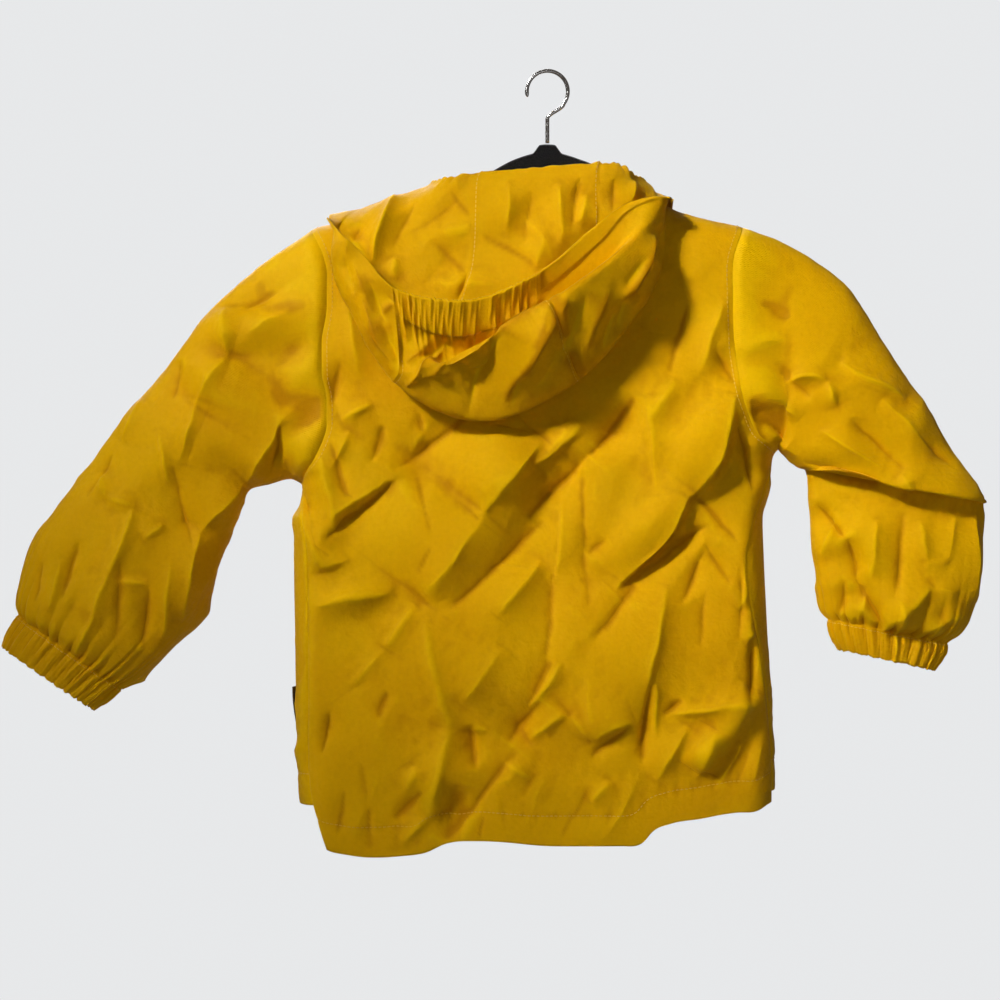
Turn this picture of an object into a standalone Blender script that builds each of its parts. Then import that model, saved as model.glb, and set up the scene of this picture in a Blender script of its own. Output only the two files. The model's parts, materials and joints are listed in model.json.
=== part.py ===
"""Kids hooded raincoat on a slim hanger, hung by its hook.

The coat's back faces -Y, +Z is up, and the origin is the inside top of the hook, where a rail holds it.
Tables and sizes are in millimetres. A grid holds the middle of a cloth wall, rows by columns of points.
"""

import math

import bpy
import numpy as np

MM = 0.001
CLOTH = 1.2  # wall of one layer of cloth
SEAM_GAP = 0.3  # between two pieces that are sewn together

# The coat's body.
TOP_ROUND = 25.0  # how far below the shoulder line the cloth reaches its full depth
SIDE_ROUND = 26.0  # how far inside the side fold it does
ARMHOLE_ROWS = 12  # rows of points from shoulder to armpit
SKIRT_ROWS = 12  # from armpit to the front hem
HEM_ROWS = 3  # from there to the back's lower hem
SHOULDER_COLUMNS = 4
NECK_COLUMNS = 16
FRONT_COLUMNS = 5
LAP_COLUMNS = 2
NECK_X = (-84.0, 72.0)  # ends of the neck opening
NECK_ROUND = 2.2  # 2 curves the neckline as a parabola, more squares its corners
BACK_NECK_DROP = 17.0  # how far the neckline dips below its corners, at the back
FRONT_NECK_DROP = 56.0  # and at the front
PLACKET_LAP = 15.0  # how far each front runs past the middle
PLACKET_LIFT = 2.4  # and how far the left one rises over the right one
# Places round the body are counted 0 to 1 over the back, left to right, and 1 to 2 over the front.
CENTRE_FRONT = 1.5
PLACKET_RISE = (1.54, 1.62)  # where the left front rises over the right one
LAP_EASE = 0.2  # of a lap, from the hood's end to the other front's edge
COAT_HALF = 200.0  # half the coat's width, laid flat
COAT_MIDDLE_Z = -300.0
HEM_STEP = 4.0  # the back's hem lies at least this far below the front's
NORMAL_STEPS = (0.004, 1.0)  # turn and height over which the cloth's direction is measured
SETTLE_ROUNDS = 30  # rounds in which a panel's points settle at their heights
NECKLINE_FRONT_Z = -150.0

# Shoulder line, which the hanger's arms carry.
SHOULDER_LINE = dict(
    x=[-214, -198, -168, -147, -123, -101, -78, -52, -26, 0, 26, 46, 60, 78, 106, 122, 158, 185, 214],
    z=[-138, -130, -123, -117, -110, -104, -95, -81, -67, -61, -67, -76, -87, -98, -113, -118, -126, -136,
       -151],
)
# Side folds of the body. Above the armpits they lie inside the sleeves.
SIDES = dict(
    z=[-640, -585, -554, -506, -458, -394, -362, -350, -334, -310, -290, -60],
    left=[-199, -200, -199, -204, -205, -206, -206, -201, -198, -207, -214, -214],
    right=[184, 184, 184, 181, 179, 176, 175, 177, 181, 183, 197, 205],
)
# Edges of the back panel: the armhole seams, then the side seams, which lie just behind the side folds.
BACK_EDGES = dict(
    left_z=[-640, -627, -618, -591, -506, -394, -360, -334, -310, -286, -266, -245, -221, -191, -167, -151,
            -130],
    left_x=[-176, -177, -180, -188, -192, -192, -197, -198, -185, -177, -177, -181, -181, -177, -177, -180,
            -190],
    right_z=[-640, -585, -520, -470, -426, -394, -370, -338, -310, -294, -272, -250, -220, -182, -151, -126],
    right_x=[180, 180, 177, 170, 161, 158, 163, 173, 183, 168, 158, 153, 149, 148, 149, 158],
)
ARMPITS = dict(x=[-198, 183], z=[-334, -310])
FRONT_HEM = dict(x=[-200, 184], z=[-591, -580])
BACK_HEM = dict(
    x=[-190, -177, -160, -142, -118, -98, -82, -54, 10, 60, 76, 84, 98, 122, 150, 168, 182],
    z=[-618, -626, -630, -632, -631, -628, -621, -619, -623, -623, -620, -611, -605, -601, -596, -595, -588],
)
DEPTHS = dict(
    z=[-640, -540, -450, -350, -250, -150, -90],
    back=[30, 33, 35, 33, 31, 28, 25],
    front=[28, 31, 32, 32, 30, 29, 27],
)
# Main folds of the back. Height is out of the cloth, a trough's is negative.
BACK_FOLDS = dict(
    x0=[-198, -156, -190, 150, 122, 0, -30, 40, 100, 167, 172, -68, -160, 134],
    z0=[-354, -346, -434, -254, -354, -290, -290, -290, -300, -498, -508, -572, -500, -530],
    x1=[-182, -184, -122, 58, 50, -20, -50, 30, 70, 126, 134, -84, -120, 116],
    z1=[-404, -384, -420, -410, -418, -400, -400, -410, -430, -562, -570, -618, -560, -560],
    height=[5, 5, 5, 9, -7, -5, 5, 4, -4, 12, -8, -6, 4, 6],
    width=[11, 11, 12, 17, 15, 26, 22, 24, 20, 14, 13, 12, 16, 12],
)

FOLD_TAPER = 0.7  # 1 gives a fold the rise of a sine wave, less fuller ends

# Sleeves: outer and under edges of each section, its depth behind and before, and a tuck that lifts it.
LEFT_SLEEVE = dict(
    outer_x=[-229, -253, -277, -306, -334, -362, -389, -412, -425, -430, -426],
    outer_z=[-153, -174, -198, -238, -270, -305, -342, -374, -406, -429, -439],
    under_x=[-207, -223, -244, -253, -258, -266, -276, -288, -310, -331, -346],
    under_z=[-328, -332, -341, -358, -377, -397, -420, -447, -470, -488, -497],
    back=[28, 28, 28, 27, 26, 26, 27, 28, 27, 23, 15],
    front=[28, 28, 27, 26, 26, 26, 26, 27, 26, 22, 15],
    tuck=[0, 0, 0, 0, 0, 0, 0, 0, 0, 0, 0],
)
RIGHT_SLEEVE = dict(
    outer_x=[190, 218, 246, 276, 306, 330, 347, 355, 354, 354, 351, 349, 346, 337, 322],
    outer_z=[-138, -154, -178, -226, -272, -308, -332, -346, -354, -364, -382, -406, -430, -452, -461],
    under_x=[187, 190, 193, 196, 199, 202, 205, 207, 208, 210, 212, 214, 218, 222, 230],
    under_z=[-304, -308, -312, -316, -320, -323, -326, -329, -332, -338, -358, -385, -410, -433, -442],
    back=[30, 31, 32, 33, 34, 34, 35, 34, 20, 19, 22, 24, 25, 22, 14],
    front=[29, 29, 29, 28, 27, 26, 26, 25, 25, 25, 25, 25, 25, 22, 14],
    tuck=[0, 0, 0, 0, 0, 0, 0, 0, 9, 0, 0, 0, 0, 0, 0],
)
SLEEVE_FLATNESS = 0.8  # 1 gives an ellipse, less a flatter tube
TUCK_SHARPNESS = 1.3

# Cuffs: elastic gathers them into pleats all round.
LEFT_CUFF = dict(
    outer_x=[-426, -431, -437, -441],
    outer_z=[-439, -447, -457, -465],
    under_x=[-346, -351, -360, -368],
    under_z=[-497, -500, -508, -515],
    depth=[15, 14, 14, 14],
    pleat=[0.0, 1.5, 1.7, 1.3],
)
RIGHT_CUFF = dict(
    outer_x=[322, 321, 317, 313],
    outer_z=[-461, -468, -476, -484],
    under_x=[230, 231, 234, 237],
    under_z=[-442, -449, -459, -467],
    depth=[14, 13, 13, 13],
    pleat=[0.0, 1.5, 1.7, 1.3],
)
LEFT_PLEATS = 28
RIGHT_PLEATS = 24
POINTS_PER_PLEAT = 4

# Hood, laid down over the back. Each station is a line from the neck seam to the face edge:
# over the standing fold, down the inner side, round the pouch's bottom, over its ridge, in at the tuck below
# the casing and up to the face edge.
# Where the stations over the back meet its neckline.
NECK_STATIONS = dict(x=[-84, -77, -66, -50, -6, 38, 54, 65, 72], station=[2, 3, 4, 5, 6, 7, 8, 9, 10])
HOOD = dict(
    station=[0, 1, 2, 2.5, 3, 4, 5, 6, 7, 8, 9, 9.5, 10, 10.4, 11, 12],
    fold_x=[-33, -76, -93, -92, -88, -78, -51, -8, 42, 58, 69, 75, 79, 75, 63, 22],
    fold_y=[38, 35, 4, -8, -18, -31, -34, -35, -34, -31, -18, -8, 3, 17, 36, 38],
    fold_z=[-138, -102, -90, -89, -89, -88, -84, -81, -77, -78, -84, -85, -86, -89, -101, -138],
    fold_round=[2.5, 3, 2.5, 2.6, 2.8, 3.6, 3.6, 3.6, 3.6, 3.6, 2.8, 2.6, 2.4, 2.6, 2.8, 2.5],
    inner_x=[-38, -84, -120, -132, -134, -110, -62, -13, 38, 66, 84, 86, 84, 81, 70, 27],
    inner_y=[41, 38, 2, -19, -32, -40, -42, -43, -42, -41, -30, -18, 3, 18, 39, 41],
    inner_z=[-141, -111, -100, -106, -122, -146, -180, -180, -160, -134, -112, -99, -90, -94, -111, -141],
    bottom_x=[-42, -90, -146, -166, -172, -158, -117, -52, 22, 76, 94, 93, 88, 86, 76, 32],
    bottom_y=[43, 41, 0, -26, -38, -44, -50, -52, -51, -48, -38, -32, 1, 18, 41, 43],
    bottom_z=[-145, -118, -109, -128, -156, -194, -258, -284, -252, -190, -142, -117, -96, -101, -120, -145],
    ridge_x=[-47, -98, -154, -169, -172, -156, -112, -66, -2, 48, 82, 94, 92, 91, 82, 38],
    ridge_y=[44, 43, -1, -31, -48, -58, -66, -84, -84, -76, -54, -37, -4, 17, 43, 44],
    ridge_z=[-148, -122, -112, -124, -150, -184, -247, -228, -193, -158, -126, -111, -98, -104, -124, -148],
    tuck_x=[-52, -105, -162, -172, -170, -153, -113, -67, -6, 44, 77, 95, 95, 95, 87, 43],
    tuck_y=[44, 44, -2, -33, -52, -61, -66, -62, -61, -60, -54, -41, -8, 15, 44, 44],
    tuck_z=[-151, -126, -115, -120, -144, -174, -228, -234, -203, -164, -120, -108, -100, -107, -128, -151],
    casing_x=[-57, -112, -169, -174, -168, -150, -116, -70, -9, 40, 73, 95, 98, 99, 93, 48],
    casing_y=[44, 44, -3, -35, -53, -61, -66, -65, -63, -60, -52, -45, -13, 12, 44, 44],
    casing_z=[-154, -130, -117, -117, -138, -163, -204, -220, -191, -152, -115, -106, -103, -110, -132, -154],
    face_x=[-63, -118, -176, -176, -167, -147, -118, -68, -10, 32, 69, 94, 101, 103, 99, 54],
    face_y=[43, 43, -4, -37, -53, -60, -67, -75, -73, -62, -50, -50, -19, 8, 43, 43],
    face_z=[-158, -134, -120, -114, -132, -152, -181, -190, -169, -134, -109, -105, -106, -113, -136, -158],
)
HOOD_LINES = ["fold", "inner", "bottom", "ridge", "tuck", "casing", "face"]
HOOD_LAP_GAP = 0.5  # the hood's seam edge lies on the coat's neck edge
HOOD_CLEAR = (5.5, 10.0)  # the hood keeps this far off the coat, from its neck seam to its face edge
DEEPEST_MEND = 0.3  # share of the way out from which a hood point is still moved clear of the coat
HOOD_SPANS = [2, 1, 1, 3, 2, 4, 3, 2, 2]  # rows of points between one line and the next
HOOD_SEAMS_X = (-52.0, 39.0)  # where the centre strip's seams meet the neckline
CASING_PLEATS = 14
CASING_PLEAT = 1.9
CASING_SWELL = [0.0, 1.0, 0.7]  # how deep the pleats are at the stitch line, in the middle and at the edge

# Side tag, press studs and hanger.
TAG = dict(top=-497.0, bottom=-536.0, turn=(1.93, 1.995), thick=0.8, points=4)
STUD_RADIUS = 6.0
STUD_CROWN = 4.8  # radius of its flat top
STUD_HEIGHT = 2.0
STUD_RIM = 1.2  # height of its upright side
STUD_SIDES = 14
STUD_HEIGHTS = [-175, -270, -365, -460, -555]
HANGER_THICK = 5.0
HANGER_EDGE_THICK = 2.5  # thinner along its top and bottom edges
HANGER_BEVEL = 0.12  # share of an arm's height over which it thins
HANGER_EDGE = dict(
    x=[-196, -190, -150, -101, -78, -52, -26, -12, -9, -6, 6, 9, 12, 26, 46, 78, 106, 150, 192, 198],
    drop=[8, 4, 3, 3, 3, 3, 3, 3, 0, -3, -3, 0, 3, 3, 3, 3, 3, 3, 4, 8],
    height=[4, 10, 13, 14, 16, 20, 26, 29, 32, 35, 35, 32, 29, 26, 22, 16, 14, 13, 10, 4],
)
HOOK_WIRE = 3.2
HOOK_INNER = 15.0
HOOK_START, HOOK_END = 196.0, -38.0  # degrees round the rail
HOOK_POINTS = 22
HOOK_ROUNDNESS = 2  # 2 gives the wire 8 sides
NECK_SHARES = (0.25, 0.5, 0.75)  # points of the bend from the ring to the stem
STEM_TOP, STEM_FOOT = -37.0, -57.4

# Colours, linear.
CLOTH_COLOUR = (0.80, 0.42, 0.003, 1.0)
BLACK = (0.012, 0.012, 0.013, 1.0)
TAG_COLOUR = (0.06, 0.03, 0.012, 1.0)
METAL = (0.55, 0.55, 0.56, 1.0)


def through(places, values, at):
    """Smooth curve through values at increasing places, read at each place in at."""
    order = np.argsort(places)
    places, values = np.asarray(places, float)[order], np.asarray(values, float)[order]
    at = np.clip(at, places[0], places[-1])
    slopes = np.gradient(values, places)
    flat = np.diff(values)[:-1] * np.diff(values)[1:] <= 0
    slopes[1:-1][flat] = 0
    k = np.clip(np.searchsorted(places, at, side="right") - 1, 0, len(places) - 2)
    span = places[k + 1] - places[k]
    t = (at - places[k]) / span
    rise = (2 * t**3 - 3 * t**2 + 1) * values[k] + (3 * t**2 - 2 * t**3) * values[k + 1]
    return rise + span * ((t**3 - 2 * t**2 + t) * slopes[k] + (t**3 - t**2) * slopes[k + 1])


def rounding(distance, radius):
    """Quarter-round rise from 0 at an edge to 1, odd across the edge."""
    share = np.minimum(np.abs(distance) / radius, 1)
    return np.sign(distance) * np.sqrt(1 - (1 - share) ** 2)


def folds(table, x, z):
    """Sum of soft ridges and troughs, each highest at the middle of its line."""
    total = np.zeros(np.broadcast(x, z).shape)
    for x0, z0, x1, z1, height, width in zip(*table.values()):
        length = math.hypot(x1 - x0, z1 - z0)
        along = ((x - x0) * (x1 - x0) + (z - z0) * (z1 - z0)) / length**2
        away = ((x - x0) * (z1 - z0) - (z - z0) * (x1 - x0)) / length
        taper = np.sin(np.pi * np.clip(along, 0, 1)) ** FOLD_TAPER
        total = total + height * taper * np.exp(-((away / width) ** 2))
    return total


def shoulder_z(x):
    return through(SHOULDER_LINE["x"], SHOULDER_LINE["z"], x)


def middle_and_half(z):
    left, right = (through(SIDES["z"], SIDES[side], z) for side in ("left", "right"))
    return (left + right) / 2, (right - left) / 2


def turn_at(x, z):
    """Place round the body, 0 at the left fold and 1 at the right one, of a point on the back."""
    middle, half = middle_and_half(z)
    return np.arccos(np.clip((middle - x) / half, -1, 1)) / np.pi


def body(turn, z):
    """Middle of the coat's cloth. Above the shoulder line z runs down the other side."""
    middle, half = middle_and_half(z)
    x = middle - half * np.cos(np.pi * turn)
    drop = shoulder_z(x) - z
    inside = half * (1 - np.abs(np.cos(np.pi * turn)))
    shape = np.sign(np.sin(np.pi * turn)) * rounding(inside, SIDE_ROUND) * rounding(drop, TOP_ROUND)
    back = through(DEPTHS["z"], DEPTHS["back"], z) + folds(BACK_FOLDS, x, z)
    front = through(DEPTHS["z"], DEPTHS["front"], z)
    y = -np.where(shape > 0, back, front) * shape
    return np.stack([x, y, z + np.minimum(2 * drop, 0)], axis=-1)


def body_normal(turn, z):
    """Outward direction of the coat's cloth."""
    step_turn, step_z = NORMAL_STEPS
    across = body(turn + step_turn, z) - body(turn - step_turn, z)
    down = body(turn, z - step_z) - body(turn, z + step_z)
    normal = np.cross(down, across)
    return normal / np.linalg.norm(normal, axis=-1, keepdims=True)


def back_turn(side, z):
    """Edge of the back panel, as a place round the body."""
    return turn_at(through(BACK_EDGES[side + "_z"], BACK_EDGES[side + "_x"], z), z)


def front_turn(side, z):
    """Outer edge of a front: the armhole above the armpit, the side seam behind the side fold below."""
    edge = back_turn(side, z)
    above = z > ARMPITS["z"][side == "right"]
    return np.where(above, 2 - edge, edge + (2 if side == "left" else 0))


def neck_drop(x, depth):
    """How far the neckline lies below its corners."""
    middle, half = (NECK_X[0] + NECK_X[1]) / 2, (NECK_X[1] - NECK_X[0]) / 2
    return depth * (1 - np.clip(np.abs(x - middle) / half, 0, 1) ** NECK_ROUND)


def top_z(x, neck_depth):
    """Top edge of a panel: the shoulder line, cut away for the neck."""
    corners = np.interp(x, NECK_X, shoulder_z(np.array(NECK_X)))
    in_neck = (x > NECK_X[0]) & (x < NECK_X[1])
    return np.where(in_neck, corners - neck_drop(x, neck_depth), shoulder_z(x))


def levels(hem_rows):
    """Row levels: 0 shoulder, 1 armpit, 2 front hem, 3 back hem."""
    upper = (1 - np.cos(np.pi * np.arange(ARMHOLE_ROWS) / ARMHOLE_ROWS)) / 2
    lower = 1 + np.arange(SKIRT_ROWS) / SKIRT_ROWS
    last = 2 + np.arange(hem_rows) / max(hem_rows, 1)
    return np.concatenate([upper, lower, last, [3.0 if hem_rows else 2.0]])


def level_z(level, x, neck_depth):
    """Height of a row of points at x."""
    pit = np.interp(x, ARMPITS["x"], ARMPITS["z"])
    hem = np.interp(x, FRONT_HEM["x"], FRONT_HEM["z"])
    low = np.minimum(through(BACK_HEM["x"], BACK_HEM["z"], x), hem - HEM_STEP)
    lines = [top_z(x, neck_depth), pit, hem, low]
    k = np.clip(np.floor(level).astype(int), 0, 2)
    start = np.choose(k, lines[:3])
    end = np.choose(k, lines[1:])
    return start + (level - k) * (end - start)


def panel(shares, rows, first_edge, last_edge, neck_depth):
    """Turns and heights of a panel's grid between two edges that depend on height."""
    share, level = np.meshgrid(shares, rows)
    z = np.full(share.shape, COAT_MIDDLE_Z)
    for _ in range(SETTLE_ROUNDS):
        turn = first_edge(z) + share * (last_edge(z) - first_edge(z))
        x = body(turn, z)[..., 0]
        z = (z + level_z(level, x, neck_depth)) / 2
    return turn, z


def neck_share(x, first_edge, last_edge, neck_depth, front):
    """Share of a panel's width at which its top edge passes x."""
    z = top_z(np.array(x), neck_depth)
    turn = turn_at(x, z)
    turn = 2 - turn if front else turn
    return float((turn - first_edge(z)) / (last_edge(z) - first_edge(z)))


def unit(vectors):
    return vectors / np.linalg.norm(vectors, axis=-1, keepdims=True)


def drawn_back(grid, top=0.0, bottom=0.0, left=0.0, right=0.0):
    """The grid with its border points moved inwards along its own lines."""
    moved = grid.copy()
    moved[0] += top * unit(grid[1] - grid[0])
    moved[-1] += bottom * unit(grid[-2] - grid[-1])
    moved[:, 0] += left * unit(grid[:, 1] - grid[:, 0])
    moved[:, -1] += right * unit(grid[:, -2] - grid[:, -1])
    return moved


def grid_normals(grid, ring=False):
    """Normals of a grid from the quads round each point. A ring's columns run round and close."""
    if ring:
        grid = np.concatenate([grid, grid[:, :1]], axis=1)
    quads = unit(np.cross(grid[1:, :-1] - grid[:-1, 1:], grid[1:, 1:] - grid[:-1, :-1]))
    total = np.zeros(grid.shape)
    for rows in (slice(None, -1), slice(1, None)):
        for columns in (slice(None, -1), slice(1, None)):
            total[rows, columns] += quads
    if ring:
        total[:, 0] += total[:, -1]
        total = total[:, :-1]
    return unit(total)


def colour_material(name, colour, roughness, metallic=0.0):
    material = bpy.data.materials.get(name) or bpy.data.materials.new(name)
    material.use_nodes = True
    shader = material.node_tree.nodes["Principled BSDF"]
    shader.inputs["Base Color"].default_value = colour
    shader.inputs["Roughness"].default_value = roughness
    shader.inputs["Metallic"].default_value = metallic
    return material


def add_object(name, points, faces, material):
    """One closed body, its faces turned outwards."""
    points = np.asarray(points)
    volume = 0.0
    for face in faces:
        for second, third in zip(face[1:-1], face[2:]):
            volume += np.dot(points[face[0]], np.cross(points[second], points[third]))
    if volume < 0:
        faces = [face[::-1] for face in faces]
    mesh = bpy.data.meshes.new(name)
    mesh.from_pydata([tuple(point * MM) for point in points], [], faces)
    mesh.validate()
    mesh.shade_smooth()
    mesh.materials.append(material)
    thing = bpy.data.objects.new(name, mesh)
    bpy.context.collection.objects.link(thing)
    return thing


def add_wall(name, grid, normals, material, thick=CLOTH, ring=False):
    """A sheet or tube of even thickness about the middle points of a grid."""
    rows, columns = grid.shape[:2]
    side = rows * columns
    points = np.concatenate([(grid + way * normals * thick / 2).reshape(-1, 3) for way in (1, -1)])
    faces = []

    def edge_face(a, b, turned):
        faces.append((a, b, side + b, side + a) if turned else (a, side + a, side + b, b))

    for j in range(columns if ring else columns - 1):
        for i in range(rows - 1):
            a, b = i * columns + j, i * columns + (j + 1) % columns
            faces.append((a, b, b + columns, a + columns))
            faces.append((side + a, side + a + columns, side + b + columns, side + b))
        edge_face(j, (j + 1) % columns, False)
        edge_face(side - columns + j, side - columns + (j + 1) % columns, True)
    if not ring:
        for i in range(rows - 1):
            edge_face(i * columns, (i + 1) * columns, True)
            edge_face((i + 1) * columns - 1, (i + 2) * columns - 1, False)
    return add_object(name, points, faces, material)


def back_grid():
    """Turns and heights of the back panel."""
    edges = (lambda z: back_turn("left", z)), (lambda z: back_turn("right", z))
    first, *_, last = NECK_STATIONS["station"]
    stations = np.linspace(first, last, NECK_COLUMNS + 1)
    neck_x = np.interp(stations, NECK_STATIONS["station"], NECK_STATIONS["x"])
    in_neck = [neck_share(x, *edges, BACK_NECK_DROP, False) for x in neck_x]
    shares = np.concatenate([
        np.linspace(0, in_neck[0], SHOULDER_COLUMNS + 1)[:-1],
        in_neck,
        np.linspace(in_neck[-1], 1, SHOULDER_COLUMNS + 1)[1:],
    ])
    return panel(shares, levels(HEM_ROWS), *edges, BACK_NECK_DROP)


def front_grid(side):
    """Turns and heights of one front, from its outer edge to past the middle."""
    lap = PLACKET_LAP / COAT_HALF / np.pi * (1 if side == "left" else -1)
    corner_x = NECK_X[side == "right"]

    def outer(z):
        return front_turn(side, z)

    def inner(z):
        return np.full(np.shape(z), CENTRE_FRONT - lap)

    corner = neck_share(corner_x, outer, inner, FRONT_NECK_DROP, True)
    edge = outer(np.array(NECKLINE_FRONT_Z))
    lap_share = float((CENTRE_FRONT + lap + LAP_EASE * lap - edge) / (CENTRE_FRONT - lap - edge))
    shares = np.concatenate([
        np.linspace(0, corner, SHOULDER_COLUMNS + 1)[:-1],
        corner + (lap_share - corner) * np.linspace(0, 1, FRONT_COLUMNS + 1) ** 2,
        np.linspace(lap_share, 1, LAP_COLUMNS + 1)[1:],
    ])
    return panel(shares, levels(0), outer, inner, FRONT_NECK_DROP)


def sleeve_rings(table, armhole):
    """Middle points of a sleeve, from the armhole's ring of points through each section."""
    count = armhole.shape[0]
    angle = 2 * np.pi * np.arange(count) / count
    share = ((1 - np.cos(angle)) / 2)[:, None]
    rings = [armhole]
    for outer_x, outer_z, under_x, under_z, back, front, tuck in zip(*table.values()):
        outer, under = np.array([outer_x, 0, outer_z]), np.array([under_x, 0, under_z])
        ring = outer + (under - outer) * share
        depth = np.where(np.sin(angle) > 0, back, front)
        ring[:, 1] = -depth * np.sign(np.sin(angle)) * np.abs(np.sin(angle)) ** SLEEVE_FLATNESS
        ring[:, 2] += tuck * np.clip(np.sin(angle), 0, 1) ** TUCK_SHARPNESS
        rings.append(ring)
    return np.array(rings)


def loop_plane_normals(ring):
    """Directions out of a ring of points, in the ring's own plane."""
    centre = ring.mean(axis=0)
    plane = unit(sum(np.cross(ring[i] - centre, ring[i - 1] - centre) for i in range(len(ring))))
    return unit(np.cross(np.roll(ring, -1, axis=0) - np.roll(ring, 1, axis=0), plane))


def facing(normals, guide):
    """Normals turned to the side that guide points to."""
    return normals * np.sign(np.sum(normals * guide, axis=-1, keepdims=True))


def finer_ring(ring, count):
    """Points spread along a closed ring of straight runs."""
    place = np.arange(count) * len(ring) / count
    k = place.astype(int)
    return ring[k] + (ring[(k + 1) % len(ring)] - ring[k]) * (place - k)[:, None]


def add_sleeve(side, back, front, material):
    """Sleeve and gathered cuff. The armhole ring is the panels' own edge points."""
    table, cuff, pleats = {
        "left": (LEFT_SLEEVE, LEFT_CUFF, LEFT_PLEATS),
        "right": (RIGHT_SLEEVE, RIGHT_CUFF, RIGHT_PLEATS),
    }[side]
    column = 0 if side == "left" else -1
    back_edge = [grid[: ARMHOLE_ROWS + 1, column] for grid in back]
    front_edge = [grid[: ARMHOLE_ROWS + 1, 0] for grid in front]
    turn, z = (np.concatenate([b, f[-2:0:-1]]) for b, f in zip(back_edge, front_edge))
    armhole = body(turn, z)
    rings = sleeve_rings(table, armhole)
    normals = grid_normals(rings, ring=True)
    outward = rings - rings.mean(axis=1, keepdims=True)
    if np.sum(normals[3] * outward[3]) < 0:
        normals = -normals
    end = loop_plane_normals(rings[-1])
    normals[-1] = facing(end, outward[-1])
    normals[0] = body_normal(turn, z)
    add_wall("sleeve_" + side, drawn_back_rings(rings), normals, material, ring=True)
    add_cuff(side, rings[-1], cuff, pleats, material)


def drawn_back_rings(rings):
    moved = rings.copy()
    moved[0] += SEAM_GAP / 2 * unit(rings[1] - rings[0])
    across = unit(np.cross(rings[-1][len(rings[-1]) // 2] - rings[-1][0], [0.0, 1.0, 0.0]))
    towards = np.sign(np.dot(across, rings[-2].mean(axis=0) - rings[-1].mean(axis=0)))
    moved[-1] += SEAM_GAP / 2 * towards * across
    return moved


def add_cuff(side, seam_ring, sections, pleats, material):
    """Band of pleats that starts on the sleeve's last ring."""
    count = pleats * POINTS_PER_PLEAT
    angle = 2 * np.pi * np.arange(count) / count
    share = ((1 - np.cos(angle)) / 2)[:, None]
    rings = []
    for number, (outer_x, outer_z, under_x, under_z, depth, pleat) in enumerate(zip(*sections.values())):
        if number == 0:
            rings.append(finer_ring(seam_ring, count))
            continue
        outer, under = np.array([outer_x, 0, outer_z]), np.array([under_x, 0, under_z])
        ring = outer + (under - outer) * share
        ring[:, 1] = -depth * np.sign(np.sin(angle)) * np.abs(np.sin(angle)) ** SLEEVE_FLATNESS
        out = loop_plane_normals(ring)
        out = facing(out, ring - ring.mean(axis=0))
        rings.append(ring + out * (pleat * np.cos(pleats * angle))[:, None])
    rings = np.array(rings)
    normals = grid_normals(rings, ring=True)
    outward = rings - rings.mean(axis=1, keepdims=True)
    if np.sum(normals * outward) < 0:
        normals = -normals
    normals[0] = facing(loop_plane_normals(rings[0]), outward[0])
    across = unit(np.cross(rings[0][count // 2] - rings[0][0], [0.0, 1.0, 0.0]))
    towards = np.sign(np.dot(across, rings[-1].mean(axis=0) - rings[0].mean(axis=0)))
    rings[0] += SEAM_GAP / 2 * towards * across
    add_wall("cuff_" + side, rings, normals, material, ring=True)


def hood_line(name, station):
    """Point of one of the hood's long lines at a station."""
    return np.array([through(HOOD["station"], HOOD[f"{name}_{axis}"], station) for axis in "xyz"])


def path_through(points, spans):
    """Smooth path through the points, with so many steps in each span."""
    points = np.array(points)
    lengths = np.linalg.norm(np.diff(points, axis=0), axis=1)
    knots = np.concatenate([[0], np.cumsum(np.sqrt(lengths))])
    places = [knots[k] + (knots[k + 1] - knots[k]) * np.arange(n) / n for k, n in enumerate(spans)]
    places = np.concatenate(places + [[knots[-1]]])
    slopes = np.gradient(points, knots, axis=0)
    k = np.clip(np.searchsorted(knots, places, side="right") - 1, 0, len(knots) - 2)
    span = (knots[k + 1] - knots[k])[:, None]
    t = ((places - knots[k]) / span[:, 0])[:, None]
    rise = (2 * t**3 - 3 * t**2 + 1) * points[k] + (3 * t**2 - 2 * t**3) * points[k + 1]
    return rise + span * ((t**3 - 2 * t**2 + t) * slopes[k] + (t**3 - t**2) * slopes[k + 1])


def hood_column(neck_point, station):
    """Points of the hood above one point of the neckline."""
    fold, *others = (hood_line(name, station) for name in HOOD_LINES)
    radius = through(HOOD["station"], HOOD["fold_round"], station)
    outwards = unit((others[1] - neck_point) * [1, 1, 0]) * radius
    below = np.array([0, 0, 1]) * radius
    folded = [fold - outwards - below, fold, fold + outwards - below]
    column = path_through([neck_point, *folded, *others], HOOD_SPANS)
    return clear_of_body(column, np.linspace(*HOOD_CLEAR, len(column)))


def clear_of_body(points, clearance):
    """The points after the first, moved out where they are nearer to the coat than their clearance."""
    x, y, z = points.T
    middle, half = middle_and_half(z)
    behind = through(DEPTHS["z"], DEPTHS["back"], z) + folds(BACK_FOLDS, x, z)
    before = through(DEPTHS["z"], DEPTHS["front"], z)
    width = rounding(np.maximum(half + clearance - np.abs(x - middle), 0), SIDE_ROUND + clearance)
    depth = np.maximum((np.where(y < 0, behind, before) + clearance) * width, 1)
    centre = shoulder_z(x) - TOP_ROUND
    above = np.maximum(z - centre, 0)
    scale = 1 / np.clip(np.hypot(y / depth, above / (TOP_ROUND + clearance)), DEEPEST_MEND, 1)
    scale[0] = 1
    return np.stack([x, y * scale, z + above * (scale - 1)], axis=-1)


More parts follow.
